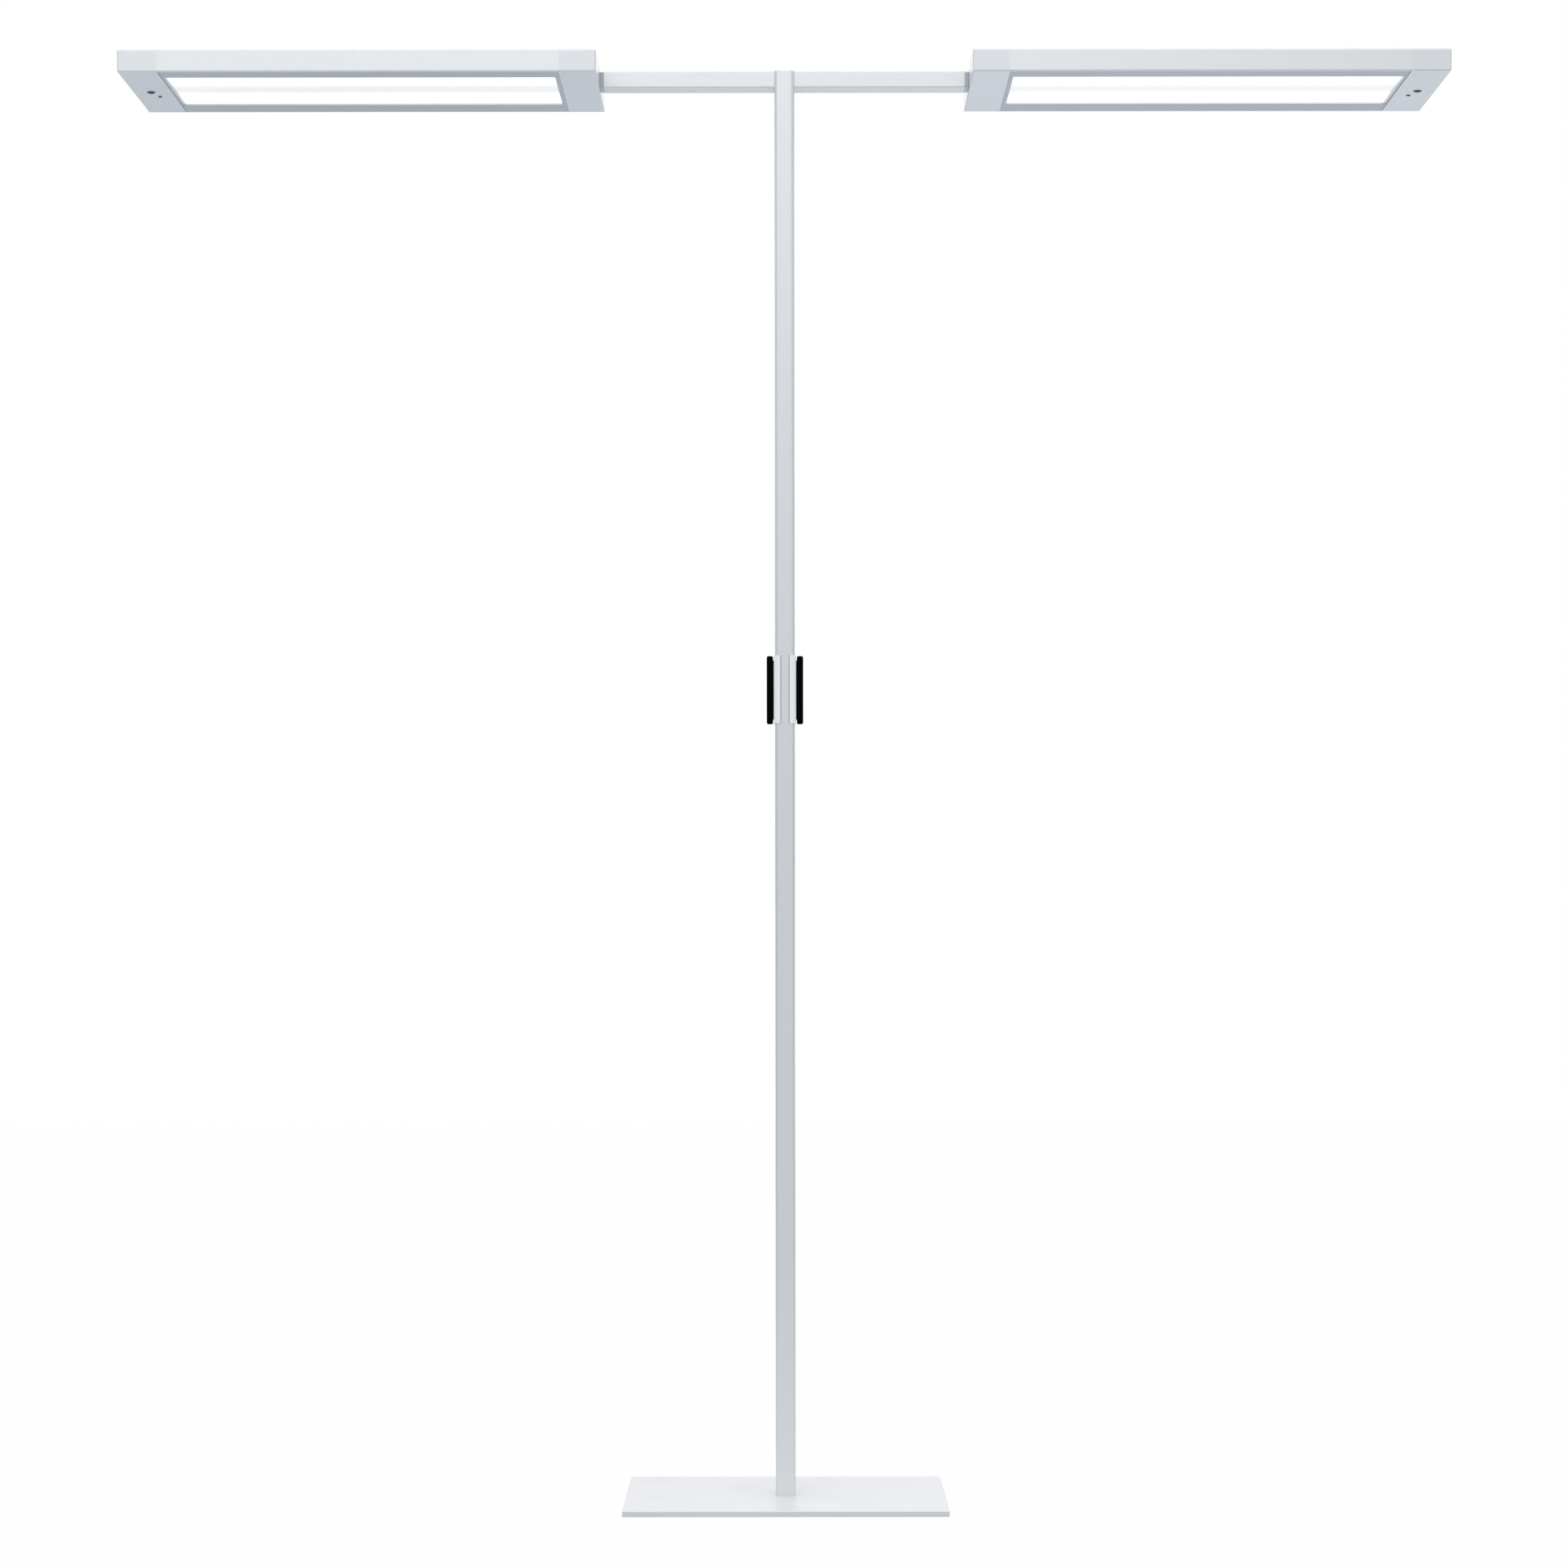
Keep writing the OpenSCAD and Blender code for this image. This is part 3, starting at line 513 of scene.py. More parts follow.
def new_material(name):
    """Makes a material, keeps it under its name, and returns its tree and its shader."""
    material = bpy.data.materials.new(name)
    material.use_nodes = True
    finishes[name] = material
    return material.node_tree, material.node_tree.nodes["Principled BSDF"]


def give(tree, shader, label, socket):
    """Links a pattern to one of the shader's inputs."""
    tree.links.new(socket, shader.inputs[label])


def fix(shader, values):
    """Sets what is the same all over the part."""
    for label, value in values.items():
        shader.inputs[label].default_value = value


def raise_surface(tree, shader, height, distance, strength=1.0):
    """Turns a height pattern into relief of a real depth in metres."""
    bump = add(tree, "ShaderNodeBump", {"Height": height, "Distance": distance, "Strength": strength})
    give(tree, shader, "Normal", bump.outputs[0])


def silver_paint(
    name,
    colour,
    stretch,
    line_strength,
    roughness,
    metal,
    peel=1.1 * MM,
    shine=0.5,
    lacquer=0.12,
    lacquer_rough=0.22,
    haze=0.0,
    edge_shade=None,
):
    """Silver powder coat over drawn or cast aluminium, or over steel plate."""
    tree, shader = new_material(name)
    coat = use_recipe(tree, powder, {"Colour": colour, "Peel Size": peel, "Roughness": roughness})
    lines = use_recipe(tree, die_lines, {"Stretch": stretch, "Strength": line_strength})
    edges = use_recipe(tree, wear)["Mask"]
    film = use_recipe(tree, dust, {"Amount": PAINT_DUST})["Mask"]
    drawn = scale_colour(tree, coat["Colour"], lines["Tone"])
    now = blend_colours(tree, maths(tree, "MULTIPLY", edges, PAINT_WEAR), drawn, WORN_SILVER)
    # Painted light: the paint gets paler towards the floor, standing in for light thrown back by the floor.
    if haze:
        above_floor = axes(tree, place_on_part(tree))["Z"]
        painted_glow = remap(tree, above_floor, GLOW_FROM, GLOW_FULL, 0.0, haze)
        now = blend_colours(tree, painted_glow, now, FOOT_GLOW_PAINT)
    # Painted shade: faces that are not level get a darker tone than the level top.
    if edge_shade:
        flatness = maths(tree, "ABSOLUTE", upward_part(tree))
        now = blend_colours(tree, remap(tree, flatness, TOP_FACE, SIDE_FACE), now, edge_shade)
    give(tree, shader, "Base Color", blend_colours(tree, film, now, DUST_GREY))
    rubbed = maths(tree, "MULTIPLY_ADD", edges, WEAR_GLOSS, coat["Roughness"])
    give(tree, shader, "Roughness", maths(tree, "MULTIPLY_ADD", film, DUST_GLOSS, rubbed, clamp=True))
    fix(shader, {"Metallic": metal, "Specular IOR Level": shine})
    fix(shader, {"Coat Weight": lacquer, "Coat Roughness": lacquer_rough})
    height = maths(tree, "MULTIPLY_ADD", lines["Height"], line_strength * LINE_RELIEF, coat["Height"])
    raise_surface(tree, shader, height, PAINT_RELIEF, PAINT_BUMP)


# The column's paint carries the painted light at its foot.
silver_paint("upright_silver", SILVER, UPRIGHT, 0.030, roughness=0.38, metal=0.45, haze=0.45)
silver_paint("across_silver", SILVER, ACROSS, 0.030, roughness=0.38, metal=0.45)
silver_paint("cast_silver", BLOCK_SILVER, UNDRAWN, 0.012, roughness=0.42, metal=0.40, peel=1.4 * MM)
# The plate's paint carries painted shade on its upright edges.
silver_paint(
    "plate_silver",
    PLATE_SILVER,
    UNDRAWN,
    0.010,
    roughness=0.56,
    metal=0.04,
    peel=0.8 * MM,
    shine=0.10,
    lacquer=0.08,
    lacquer_rough=0.12,
    edge_shade=EDGE_SHADE_TONE,
)
print("silver paints:", len(finishes))

# %% [markdown]
# ## Bare metal
#
# The screws, spindles and nuts are zinc-plated: bright, a little blue, and finely turned. The inner blocks
# and the tray are plain mill aluminium, softer and greyer. Both are fully metallic, so nearly all that
# shows is the room's reflection, and roughness does the work of telling them apart.

# %% Zinc and mill aluminium
ZINC = (0.62, 0.64, 0.67, 1.0)
ZINC_STRAW = (0.70, 0.67, 0.58, 1.0)
MILL = (0.78, 0.79, 0.80, 1.0)
MILL_DULL = grey(0.7)
BARE_BRIGHT = grey(0.9)
TURNED = (900.0, 900.0, 3000.0)
ROLLED = (20.0, 900.0, 900.0)
MARK_STRENGTH = 0.12
MARK_GLOSS = 0.22
TINT_SCALE = 140.0
TINT_DETAIL = 3.0
TINT_LOW = 0.45
TINT_HIGH = 0.7
TINT_MOST = 0.5
BARE_WEAR = 0.4
BARE_EDGES = {"Width": 0.3 * MM, "Patchiness": 400.0}


def bare_metal(name, colour, second, stretch, roughness, relief):
    """Unpainted metal with fine machining marks and a faint second tint."""
    tree, shader = new_material(name)
    marks = use_recipe(tree, die_lines, {"Stretch": stretch, "Strength": MARK_STRENGTH})
    tint = noise(tree, place_on_part(tree), TINT_SCALE, TINT_DETAIL)
    base = blend_colours(tree, remap(tree, tint, TINT_LOW, TINT_HIGH, 0.0, TINT_MOST), colour, second)
    toned = scale_colour(tree, base, marks["Tone"])
    edges = maths(tree, "MULTIPLY", use_recipe(tree, wear, BARE_EDGES)["Mask"], BARE_WEAR)
    give(tree, shader, "Base Color", blend_colours(tree, edges, toned, BARE_BRIGHT))
    give(tree, shader, "Roughness", maths(tree, "MULTIPLY_ADD", marks["Height"], MARK_GLOSS, roughness))
    fix(shader, {"Metallic": 1.0})
    raise_surface(tree, shader, marks["Height"], relief)


bare_metal("zinc", ZINC, ZINC_STRAW, TURNED, 0.20, 0.01 * MM)
bare_metal("mill_aluminium", MILL, MILL_DULL, ROLLED, 0.34, 0.012 * MM)
print("paints and bare metals:", len(finishes))

# %% [markdown]
# ## Plastics and rubber
#
# The pads are matt black with a fine grain, and read as almost pure black. The cheeks behind them are light
# grey satin plastic, brighter than the painted column between them. The collars between the arms and the
# heads are mid grey. The frames round the lit panels and the cords beside the cheeks are a darker bluish
# grey, which is painted shade for the shadow lines there. Glides and leads are softer, with a sheen of wax.
# All of them use the grain recipe with their own size, colour and gloss.

# %% Moulded plastics
PAD_BLACK = (0.0011, 0.0011, 0.0012, 1.0)
PART_BLACK = (0.013, 0.013, 0.014, 1.0)
RUBBER_BLACK = (0.020, 0.020, 0.020, 1.0)
COLLAR_GREY = (0.50, 0.52, 0.55, 1.0)
# Painted shade: a darker bluish grey for the panel frames and the cords beside the cheeks.
SHADE_LINE_GREY = (0.475, 0.51, 0.56, 1.0)
CHEEK_GREY = (0.950, 0.952, 0.960, 1.0)
RUBBED = grey(0.9)
CASE_WHITE = (0.86, 0.86, 0.85, 1.0)
MOULD_EDGES = {"Width": 0.7 * MM, "Patchiness": 120.0}
MOULD_DUST = 0.08
RUB_GLOSS = -0.1


def moulded(
    name,
    colour,
    size,
    roughness,
    relief,
    drift=0.06,
    sheen=0.0,
    rub=0.0,
    rub_colour=grey(0.08),
    shine=0.5,
):
    """Etched-mould plastic or rubber, with rubbed edges if asked."""
    tree, shader = new_material(name)
    values = {"Colour": colour, "Size": size, "Roughness": roughness, "Drift": drift}
    skin = use_recipe(tree, grain, values)
    edges = use_recipe(tree, wear, MOULD_EDGES)["Mask"]
    film = use_recipe(tree, dust, {"Amount": MOULD_DUST})["Mask"]
    now = blend_colours(tree, maths(tree, "MULTIPLY", edges, rub), skin["Colour"], rub_colour)
    give(tree, shader, "Base Color", blend_colours(tree, film, now, DUST_GREY))
    give(tree, shader, "Roughness", maths(tree, "MULTIPLY_ADD", edges, RUB_GLOSS, skin["Roughness"]))
    fix(shader, {"Sheen Weight": sheen, "Specular IOR Level": shine})
    raise_surface(tree, shader, skin["Height"], relief)


others = len(finishes)
moulded("pad_black", PAD_BLACK, 0.45 * MM, 0.70, 0.03 * MM, shine=0.03)
moulded("part_black", PART_BLACK, 0.5 * MM, 0.5, 0.02 * MM)
moulded("rubber", RUBBER_BLACK, 0.35 * MM, 0.78, 0.03 * MM, sheen=0.2)
moulded("collar_grey", COLLAR_GREY, 0.4 * MM, 0.45, 0.01 * MM, drift=0.03)
# Painted shade for the shadow lines round the panels and beside the cheeks.
moulded("shade_line_grey", SHADE_LINE_GREY, 0.6 * MM, 0.42, 0.012 * MM, drift=0.04)
moulded("cheek_grey", CHEEK_GREY, 0.4 * MM, 0.36, 0.008 * MM, drift=0.02, rub=0.3, rub_colour=RUBBED)
moulded("case_white", CASE_WHITE, 0.6 * MM, 0.5, 0.02 * MM, drift=0.03)
print("plastics:", len(finishes) - others)

# %% [markdown]
# ## The lit panel
#
# The big opal sheet in each head glows almost evenly. The photograph shows only a faint, slightly greyer
# band along it, taken here for the gap between two rows of lamps behind the sheet. The glow is therefore
# painted as an emission colour that depends on the place across the head. The fine hexagonal prisms are
# added because office panels often use them against glare. They only show close up.

# %% Opal sheet
GLOW_STRENGTH = 0.86
BAND_MIDDLE = -1.5 * MM
BAND_HALF = 54.0 * MM
BAND_FLAT = 0.2 * BAND_HALF
BAND_LEVEL = 0.57
BAND_WARMTH = 0.985
PRISM = 2.6 * MM
PRISM_RANDOM = 0.12
PRISM_EDGE = 0.6
PRISM_BRIGHT = 1.015
PRISM_DIM = 0.985
PRISM_DEPTH = 0.05 * MM
SHEET_ROUGH = (0.30, 0.42)
SHEET_GREY = grey(0.50)
SHEET_GLOW = 0.04

tree, shader = new_material("opal_sheet")
where = place_on_part(tree)
from_band = maths(tree, "ABSOLUTE", maths(tree, "SUBTRACT", axes(tree, where)["Y"], BAND_MIDDLE))
band = remap(tree, from_band, BAND_FLAT, BAND_HALF, BAND_LEVEL, 1.0)
prisms = cell_pattern(tree, where, 1.0 / PRISM, PRISM_RANDOM)["Distance"]
sparkle = remap(tree, prisms, 0.0, PRISM_EDGE, PRISM_BRIGHT, PRISM_DIM)
glow = warm_glow(tree, maths(tree, "MULTIPLY", band, sparkle), BAND_WARMTH)
give(tree, shader, "Emission Color", glow)
fix(shader, {"Emission Strength": GLOW_STRENGTH})
give(tree, shader, "Base Color", blend_colours(tree, SHEET_GLOW, SHEET_GREY, glow))
give(tree, shader, "Roughness", remap(tree, prisms, 0.0, PRISM_EDGE, *SHEET_ROUGH))
raise_surface(tree, shader, prisms, PRISM_DEPTH)
print("panel glow:", GLOW_STRENGTH, "with a band at", BAND_LEVEL)

# %% [markdown]
# ## The uplight strips
#
# The photograph hides the heads' tops. Many such lamps also throw light to the ceiling, so two narrow strips
# on top of each head do that here. Their covers are frosted and ribbed along their length, and the small
# lamps below show through as a soft row of brighter spots. A wave along the head, raised to a power, makes
# the row of spots.

# %% Frosted strip
UP_STRENGTH = 0.72
UP_WARMTH = 0.99
LAMP_PITCH = 28.0 * MM
SPOT_POWER = 3.0
SPOT_LIGHT = 0.3
FROST_SCALE = 900.0
FROST_DIM = 0.66
FROST_BRIGHT = 0.70
FROST_DEPTH = 0.02 * MM
FROST_ROUGH = (0.35, 0.5)
STRIP_GREY = grey(0.30)
STRIP_GLOW = 0.1

tree, shader = new_material("frosted_strip")
where = place_on_part(tree)
turns = maths(tree, "MULTIPLY", axes(tree, where)["X"], 2 * math.pi / LAMP_PITCH)
wave = remap(tree, maths(tree, "COSINE", turns), -1.0, 1.0)
spots = maths(tree, "POWER", wave, SPOT_POWER)
frost = noise(tree, where, FROST_SCALE)
between = remap(tree, frost, NOISE_LOW, NOISE_HIGH, FROST_DIM, FROST_BRIGHT)
glow = warm_glow(tree, maths(tree, "MULTIPLY_ADD", spots, SPOT_LIGHT, between), UP_WARMTH)
give(tree, shader, "Emission Color", glow)
fix(shader, {"Emission Strength": UP_STRENGTH})
give(tree, shader, "Base Color", blend_colours(tree, STRIP_GLOW, STRIP_GREY, glow))
give(tree, shader, "Roughness", remap(tree, frost, NOISE_LOW, NOISE_HIGH, *FROST_ROUGH))
raise_surface(tree, shader, frost, FROST_DEPTH)
print("uplight glow:", UP_STRENGTH)

# %% [markdown]
# ## Boards and lenses
#
# The circuit boards hide inside, but they would show on a bench, so they get white solder mask with a grid
# of pale tracks. The sensors' lenses are dark smoked plastic, glossy, with a hint of the parts behind.

# %% Board and lens
BOARD_WHITE = (0.83, 0.84, 0.81, 1.0)
BOARD_SECOND = (0.80, 0.81, 0.78, 1.0)
TRACK = (0.70, 0.73, 0.66, 1.0)
TRACK_SCALE = 60.0
TRACK_WIDTH = 0.03
TRACK_DEPTH = 0.03 * MM
MASK_ROUGH, TRACK_ROUGH = 0.42, 0.3
SMOKED = (0.026, 0.028, 0.034, 1.0)
SMOKED_PALE = grey(0.05)
LENS_SCALE = 260.0
LENS_DETAIL = 3.0
LENS_CLEAR = 0.4
LENS_HAZE = 0.4
LENS_DEPTH = 0.004 * MM
LENS_ROUGH = (0.12, 0.24)
LENS_COAT = {"Coat Weight": 0.25, "Coat Roughness": 0.08}

tree, shader = new_material("lamp_board")
colours = {"Color1": BOARD_WHITE, "Color2": BOARD_SECOND, "Mortar": TRACK}
sizes = {"Vector": place_on_part(tree), "Scale": TRACK_SCALE, "Mortar Size": TRACK_WIDTH}
tracks = add(tree, "ShaderNodeTexBrick", {**colours, **sizes}).outputs
give(tree, shader, "Base Color", tracks["Color"])
give(tree, shader, "Roughness", remap(tree, tracks["Fac"], 0.0, 1.0, MASK_ROUGH, TRACK_ROUGH))
raise_surface(tree, shader, tracks["Fac"], TRACK_DEPTH)

tree, shader = new_material("smoked_lens")
haze = noise(tree, place_on_part(tree), LENS_SCALE, LENS_DETAIL)
pale = remap(tree, haze, LENS_CLEAR, NOISE_HIGH, 0.0, LENS_HAZE)
give(tree, shader, "Base Color", blend_colours(tree, pale, SMOKED, SMOKED_PALE))
give(tree, shader, "Roughness", remap(tree, haze, NOISE_LOW, NOISE_HIGH, *LENS_ROUGH))
fix(shader, LENS_COAT)
raise_surface(tree, shader, haze, LENS_DEPTH)
print("finishes in all:", len(finishes))

# %% [markdown]
# ## Paint the parts
#
# The record names a material slot for every part. Each slot gets its finish here. The column is the only
# silver part that runs upright, so it has its own version of the paint, and its small cap isn't drawn.

# %% Assign finishes
FINISH_OF_SLOT = {
    "plate_paint": "plate_silver",
    "stand_silver": "across_silver",
    "head_silver": "across_silver",
    "block_silver": "cast_silver",
    "inner_aluminium": "mill_aluminium",
    "screw_steel": "zinc",
    "cheek_grey": "cheek_grey",
    "pad_black": "pad_black",
    "collar_grey": "collar_grey",
    "black_plastic": "part_black",
    "glide_rubber": "rubber",
    "lead_jacket": "rubber",
    "opal_acrylic": "opal_sheet",
    "clear_acrylic": "frosted_strip",
    "circuit_board": "lamp_board",
    "driver_case": "case_white",
    "sensor_lens": "smoked_lens",
}
OWN_FINISH = {"column": "upright_silver", "column_cap": "cast_silver"}
slot_of = {row["node"]: row["material_slot"] for row in frame["record"]["subparts"]}

for name, part in parts.items():
    finish = OWN_FINISH.get(name, FINISH_OF_SLOT[slot_of[name]])
    part.data.materials.clear()
    part.data.materials.append(finishes[finish])
print("painted parts:", len(parts))

# %% [markdown]
# ## Helpers for small pieces
#
# The pieces below are too fine for the solids. Each is a closed mesh that is built point by point from
# loops, because loops give clean, even faces. A loop is a closed row of points, and a wall joins two loops.
# Every piece rides on the body that carries it, so it follows that body's joint.

# %% Mesh helpers


def new_piece(name, shape, body, finish):
    """Turns finished mesh code into a piece that rides on a body and has a finish."""
    bmesh.ops.recalc_face_normals(shape, faces=shape.faces)
    mesh = bpy.data.meshes.new(name)
    shape.to_mesh(mesh)
    shape.free()
    piece = bpy.data.objects.new(name, mesh)
    bpy.context.scene.collection.objects.link(piece)
    mesh.materials.append(finishes[finish])
    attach(piece, body)
    print(name, "faces:", len(mesh.polygons))
    return piece


def add_wall(shape, first, second):
    """Joins two loops that have the same number of points."""
    for i in range(len(first)):
        j = (i + 1) % len(first)
        shape.faces.new((first[i], first[j], second[j], second[i]))


def close_bar(shape, ends):
    """Closes a straight bar between the loops at its two ends."""
    add_wall(shape, ends[0], ends[1])
    shape.faces.new(ends[0])
    shape.faces.new(ends[1])


def close_ring(shape, levels):
    """Closes a ring whose levels each hold an outer and an inner loop."""
    for upper, lower in zip(levels, levels[1:]):
        add_wall(shape, upper[0], lower[0])
        add_wall(shape, upper[1], lower[1])
    for outer, inner in (levels[0], levels[-1]):
        add_wall(shape, outer, inner)


print("mesh helpers are ready")

# %% [markdown]
# ## Sensor domes
#
# The dark round spot near each head's outer end is taken for a motion sensor that looks down. The lens of
# such a sensor is a low dome moulded from rings of small facets, each one a tiny lens that watches its own
# patch of floor. A flat disc is in the solids, and the dome is turned here from a short profile, in rings
# whose points are pushed in and out to make the facets.

# %% Sensor domes
DOME_RADIUS = 5.65 * MM
DOME_RISE = 2.4 * MM
DOME_RINGS = 7
DOME_STEPS = 24
FACET_DEPTH = 0.10 * MM


def dome(box, radius, rise):
    """A closed, faceted dome that hangs below the middle of a box."""
    low, high = box
    middle = Vector(((low.x + high.x) / 2, (low.y + high.y) / 2, low.z))
    shape = bmesh.new()
    rings = []
    for ring in range(DOME_RINGS):
        lean = math.pi / 2 * ring / DOME_RINGS
        drop = rise * math.sin(lean)
        points = []
        for step in range(DOME_STEPS):
            turn = 2 * math.pi * step / DOME_STEPS
            push = FACET_DEPTH * ((step + ring) % 2)
            out = max(radius * math.cos(lean) - push, 0.0)
            place = middle + Vector((out * math.cos(turn), out * math.sin(turn), -drop))
            points.append(shape.verts.new(place))
        rings.append(points)
    tip = shape.verts.new(middle - Vector((0, 0, rise)))
    for upper, lower in zip(rings, rings[1:]):
        add_wall(shape, upper, lower)
    last = rings[-1]
    for i in range(DOME_STEPS):
        shape.faces.new((last[i], last[(i + 1) % DOME_STEPS], tip))
    shape.faces.new(rings[0])
    return shape


for side in SIDES:
    shape = dome(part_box(f"{side}_presence_sensor"), DOME_RADIUS, DOME_RISE)
    new_piece(f"{side}_sensor_dome", shape, f"head_{side}", "smoked_lens")

# %% [markdown]
# ## Light sensor lenses
#
# The photograph shows a fainter spot beside the motion sensor, taken for a small sensor that measures the
# daylight. Its lens is the same kind of dome, half as wide and taller for its width, so that it collects
# light from all sides. The flat disc in the solids would hardly show at this low angle.

# %% Light sensor lenses
SMALL_RADIUS = 2.9 * MM
SMALL_RISE = 2.1 * MM

for side in SIDES:
    shape = dome(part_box(f"{side}_light_sensor"), SMALL_RADIUS, SMALL_RISE)
    new_piece(f"{side}_light_lens", shape, f"head_{side}", "smoked_lens")

# %% [markdown]
# ## Frame round the lit panel
#
# In the photograph a darker, bluish line runs all round each panel, wide at the end by the column and
# narrow at the head's outer end. It is taken for a thin satin frame that snaps into the shallow recess
# below the rails and covers the joint between the rails and the end blocks. The frame is a real piece, and
# its dark bluish grey is painted shade of that recess. It could be four loose strips, but the corners would
# show seams, so it is one ring: an outer and an inner outline with small corner arcs, lofted through three
# levels so that its edges are softly chamfered.

# %% Panel frames
FRAME_THICK = 0.9 * MM
FRAME_EASE = 0.3 * MM
FRAME_GAP = 0.3 * MM
FRAME_DROP = 2.0 * MM
BEAD_WIDTH = 4.0 * MM
GROOVE_WIDTH = 7.7 * MM
INNER_LIP = 6.5 * MM
OUTER_LIP = 1.5 * MM
ARC_STEPS = 6
OPENING_ARC = 3.0 * MM
OUTER_ARC = 0.6 * MM


def rounded_outline(box, shrink, arc):
    """Points of a rectangle with round corners, counter-clockwise."""
    low_x, high_x = box[0] + shrink + arc, box[1] - shrink - arc
    low_y, high_y = box[2] + shrink + arc, box[3] - shrink - arc
    points = []
    corners = ((high_x, high_y), (low_x, high_y), (low_x, low_y), (high_x, low_y))
    for quarter, (x, y) in enumerate(corners):
        for step in range(ARC_STEPS + 1):
            turn = math.pi / 2 * (quarter + step / ARC_STEPS)
            points.append((x + arc * math.cos(turn), y + arc * math.sin(turn)))
    return points


def panel_frame(outer, inner, top):
    """A flat ring that hangs below `top`, with eased lower edges."""
    shape = bmesh.new()
    levels = []
    for drop, ease in ((0.0, 0.0), (FRAME_THICK - FRAME_EASE, 0.0), (FRAME_THICK, FRAME_EASE)):
        outlines = (rounded_outline(outer, ease, OUTER_ARC), rounded_outline(inner, -ease, OPENING_ARC))
        levels.append([[shape.verts.new((x, y, top - drop)) for x, y in ring] for ring in outlines])
    close_ring(shape, levels)
    return shape


for side in SIDES:
    rail_low, rail_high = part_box(f"{side}_rail_front")
    back_low, back_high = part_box(f"{side}_rail_back")
    sheet_low, sheet_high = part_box(f"{side}_diffuser")
    low_x, high_x = rail_low.x, rail_high.x
    lips = (OUTER_LIP, INNER_LIP) if side == "left" else (INNER_LIP, OUTER_LIP)
    outer = (low_x + FRAME_GAP, high_x - FRAME_GAP, rail_low.y + BEAD_WIDTH, back_high.y - BEAD_WIDTH)
    inner = (low_x + lips[0], high_x - lips[1], sheet_low.y + GROOVE_WIDTH, sheet_high.y - GROOVE_WIDTH)
    shape = panel_frame(outer, inner, sheet_low.z - FRAME_DROP)
    # The frame's dark grey is painted shade of the recess round the panel.
    new_piece(f"{side}_panel_frame", shape, f"head_{side}", "shade_line_grey")

# %% [markdown]
# ## Shade cords beside the cheeks
#
# A fine dark line runs between each bright cheek and the bare strip of the column. It is painted shade: a
# dark grey half-round cord along the cheek's edge, at the front and at the back, stands in for the shadow
# line there. A groove painted by bump would give no shadow at all at this distance.

# %% Cheek shade cords
CORD_WIDTH = 1.3 * MM
CORD_RISE = 0.6 * MM
CORD_STEPS = 8
CORD_GAP = 0.1 * MM
CORD_LIFT = 0.02 * MM


def half_round_cord(shape, x, y, low_z, high_z, outward):
    """A closed half-round cord that stands up along Z and bulges along Y."""
    outline = []
    for step in range(CORD_STEPS + 1):
        turn = math.pi * step / CORD_STEPS
        outline.append((x + CORD_WIDTH / 2 * math.cos(turn), y + outward * CORD_RISE * math.sin(turn)))
    close_bar(shape, [[shape.verts.new((px, py, z)) for px, py in outline] for z in (low_z, high_z)])


column_low, column_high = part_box("column")
for side, sign in zip(SIDES, (-1.0, 1.0)):
    cheek_low, cheek_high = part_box(f"switch_cheek_{side}")
    inner_edge = min(abs(cheek_low.x), abs(cheek_high.x))
    shape = bmesh.new()
    x = sign * (inner_edge - CORD_GAP - CORD_WIDTH / 2)
    half_round_cord(shape, x, column_low.y - CORD_LIFT, cheek_low.z, cheek_high.z, -1.0)
    half_round_cord(shape, x, column_high.y + CORD_LIFT, cheek_low.z, cheek_high.z, 1.0)
    # Painted shade: a dark cord where the shadow line beside the cheek falls.
    new_piece(f"cheek_shade_cord_{side}", shape, "stand", "shade_line_grey")

# %% [markdown]
# ## Ribbed uplight covers
#
# The strips on top of each head are extruded from frosted acrylic. Fine ribs along the top spread the light
# across the ceiling. A rib pattern in the bump alone would vanish at a low angle, so the ribs are real: one
# cross-section with a row of round-backed ribs, drawn out from end to end and closed.

# %% Uplight covers
RIB_PITCH = 1.55 * MM
RIB_RISE = 0.45 * MM
RIB_STEPS = 4
STRIP_GAP = 0.3 * MM


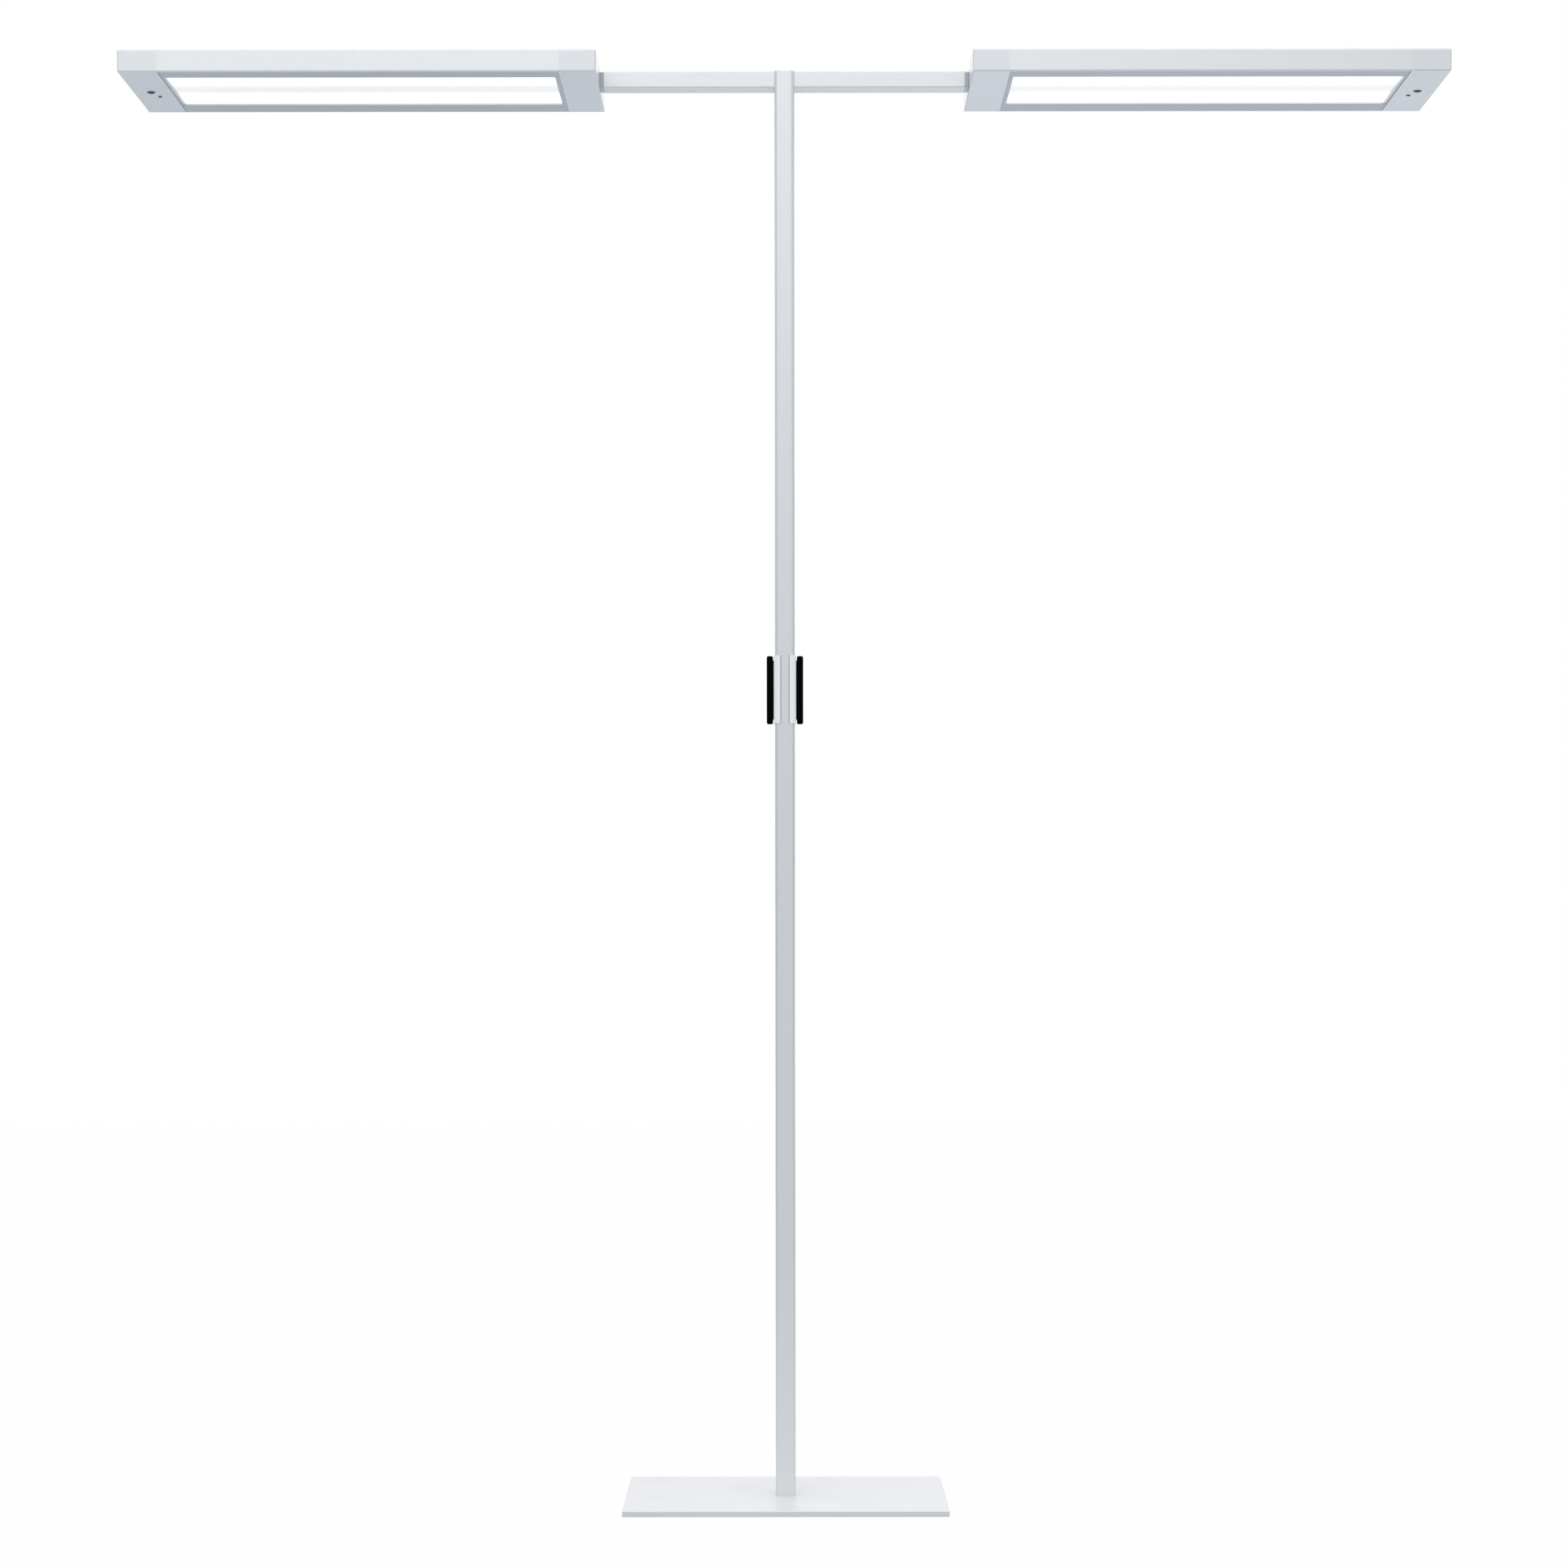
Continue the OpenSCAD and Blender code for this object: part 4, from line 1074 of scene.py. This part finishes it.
def ribbed_strip(shape, low, high):
    """Adds one closed strip between two corners, ribbed on top."""
    ribs = max(int((high.y - low.y) / RIB_PITCH), 1)
    width = (high.y - low.y) / ribs
    profile = [(low.y, low.z), (high.y, low.z)]
    for rib in range(ribs):
        for step in range(RIB_STEPS):
            share = step / RIB_STEPS
            rise = RIB_RISE * (math.sin(math.pi * share) - 1.0)
            profile.append((high.y - width * (rib + share), high.z + rise))
    profile.append((low.y, high.z - RIB_RISE))
    close_bar(shape, [[shape.verts.new((x, y, z)) for y, z in profile] for x in (low.x, high.x)])


for side in SIDES:
    name = f"{side}_uplight_covers"
    low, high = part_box(name)
    cover_low, cover_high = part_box(f"{side}_top_cover")
    shape = bmesh.new()
    ribbed_strip(shape, Vector(low), Vector((high.x, cover_low.y - STRIP_GAP, high.z)))
    ribbed_strip(shape, Vector((low.x, cover_high.y + STRIP_GAP, low.z)), Vector(high))
    piece = new_piece(f"{side}_ribbed_covers", shape, f"head_{side}", "frosted_strip")
    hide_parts(name)

# %% [markdown]
# ## Ring of the mains entry
#
# The column hides the mains entry in the photograph. It is put low on the column's back, as a gland with a
# hand-tightened ring whose flutes give fingers a grip. The solids hold the plain flange and cone. The ring
# is made here as a star outline with round flutes, stacked in four levels with eased edges, and it sits on
# the flange.

# %% Gland ring
FLUTES = 18
FLUTE_STEPS = 6
FLUTE_DEPTH = 0.5 * MM
RING_OUTER = 8.2 * MM
RING_BORE = 6.05 * MM
RING_LONG = 2.6 * MM
RING_EASE = 0.35 * MM
FLANGE_THICK = 2.0 * MM


def round_loop(shape, centre, y, reach, flute):
    """A loop round an axis along Y, with flutes cut into it."""
    loop = []
    count = FLUTES * FLUTE_STEPS
    for step in range(count):
        turn = 2 * math.pi * step / count
        out = reach - flute * (0.5 + 0.5 * math.cos(FLUTES * turn))
        loop.append(shape.verts.new((centre.x + out * math.cos(turn), y, centre.z + out * math.sin(turn))))
    return loop


low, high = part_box("cable_gland")
column_low, column_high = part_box("column")
centre = (Vector(low) + Vector(high)) / 2
start = column_high.y + FLANGE_THICK
shape = bmesh.new()
levels = []
eased_ends = ((0.0, RING_EASE), (RING_EASE, 0.0), (RING_LONG - RING_EASE, 0.0), (RING_LONG, RING_EASE))
for along, ease in eased_ends:
    outside = round_loop(shape, centre, start + along, RING_OUTER - ease, FLUTE_DEPTH)
    levels.append((outside, round_loop(shape, centre, start + along, RING_BORE, 0.0)))
close_ring(shape, levels)
new_piece("gland_ring", shape, "stand", "part_black")
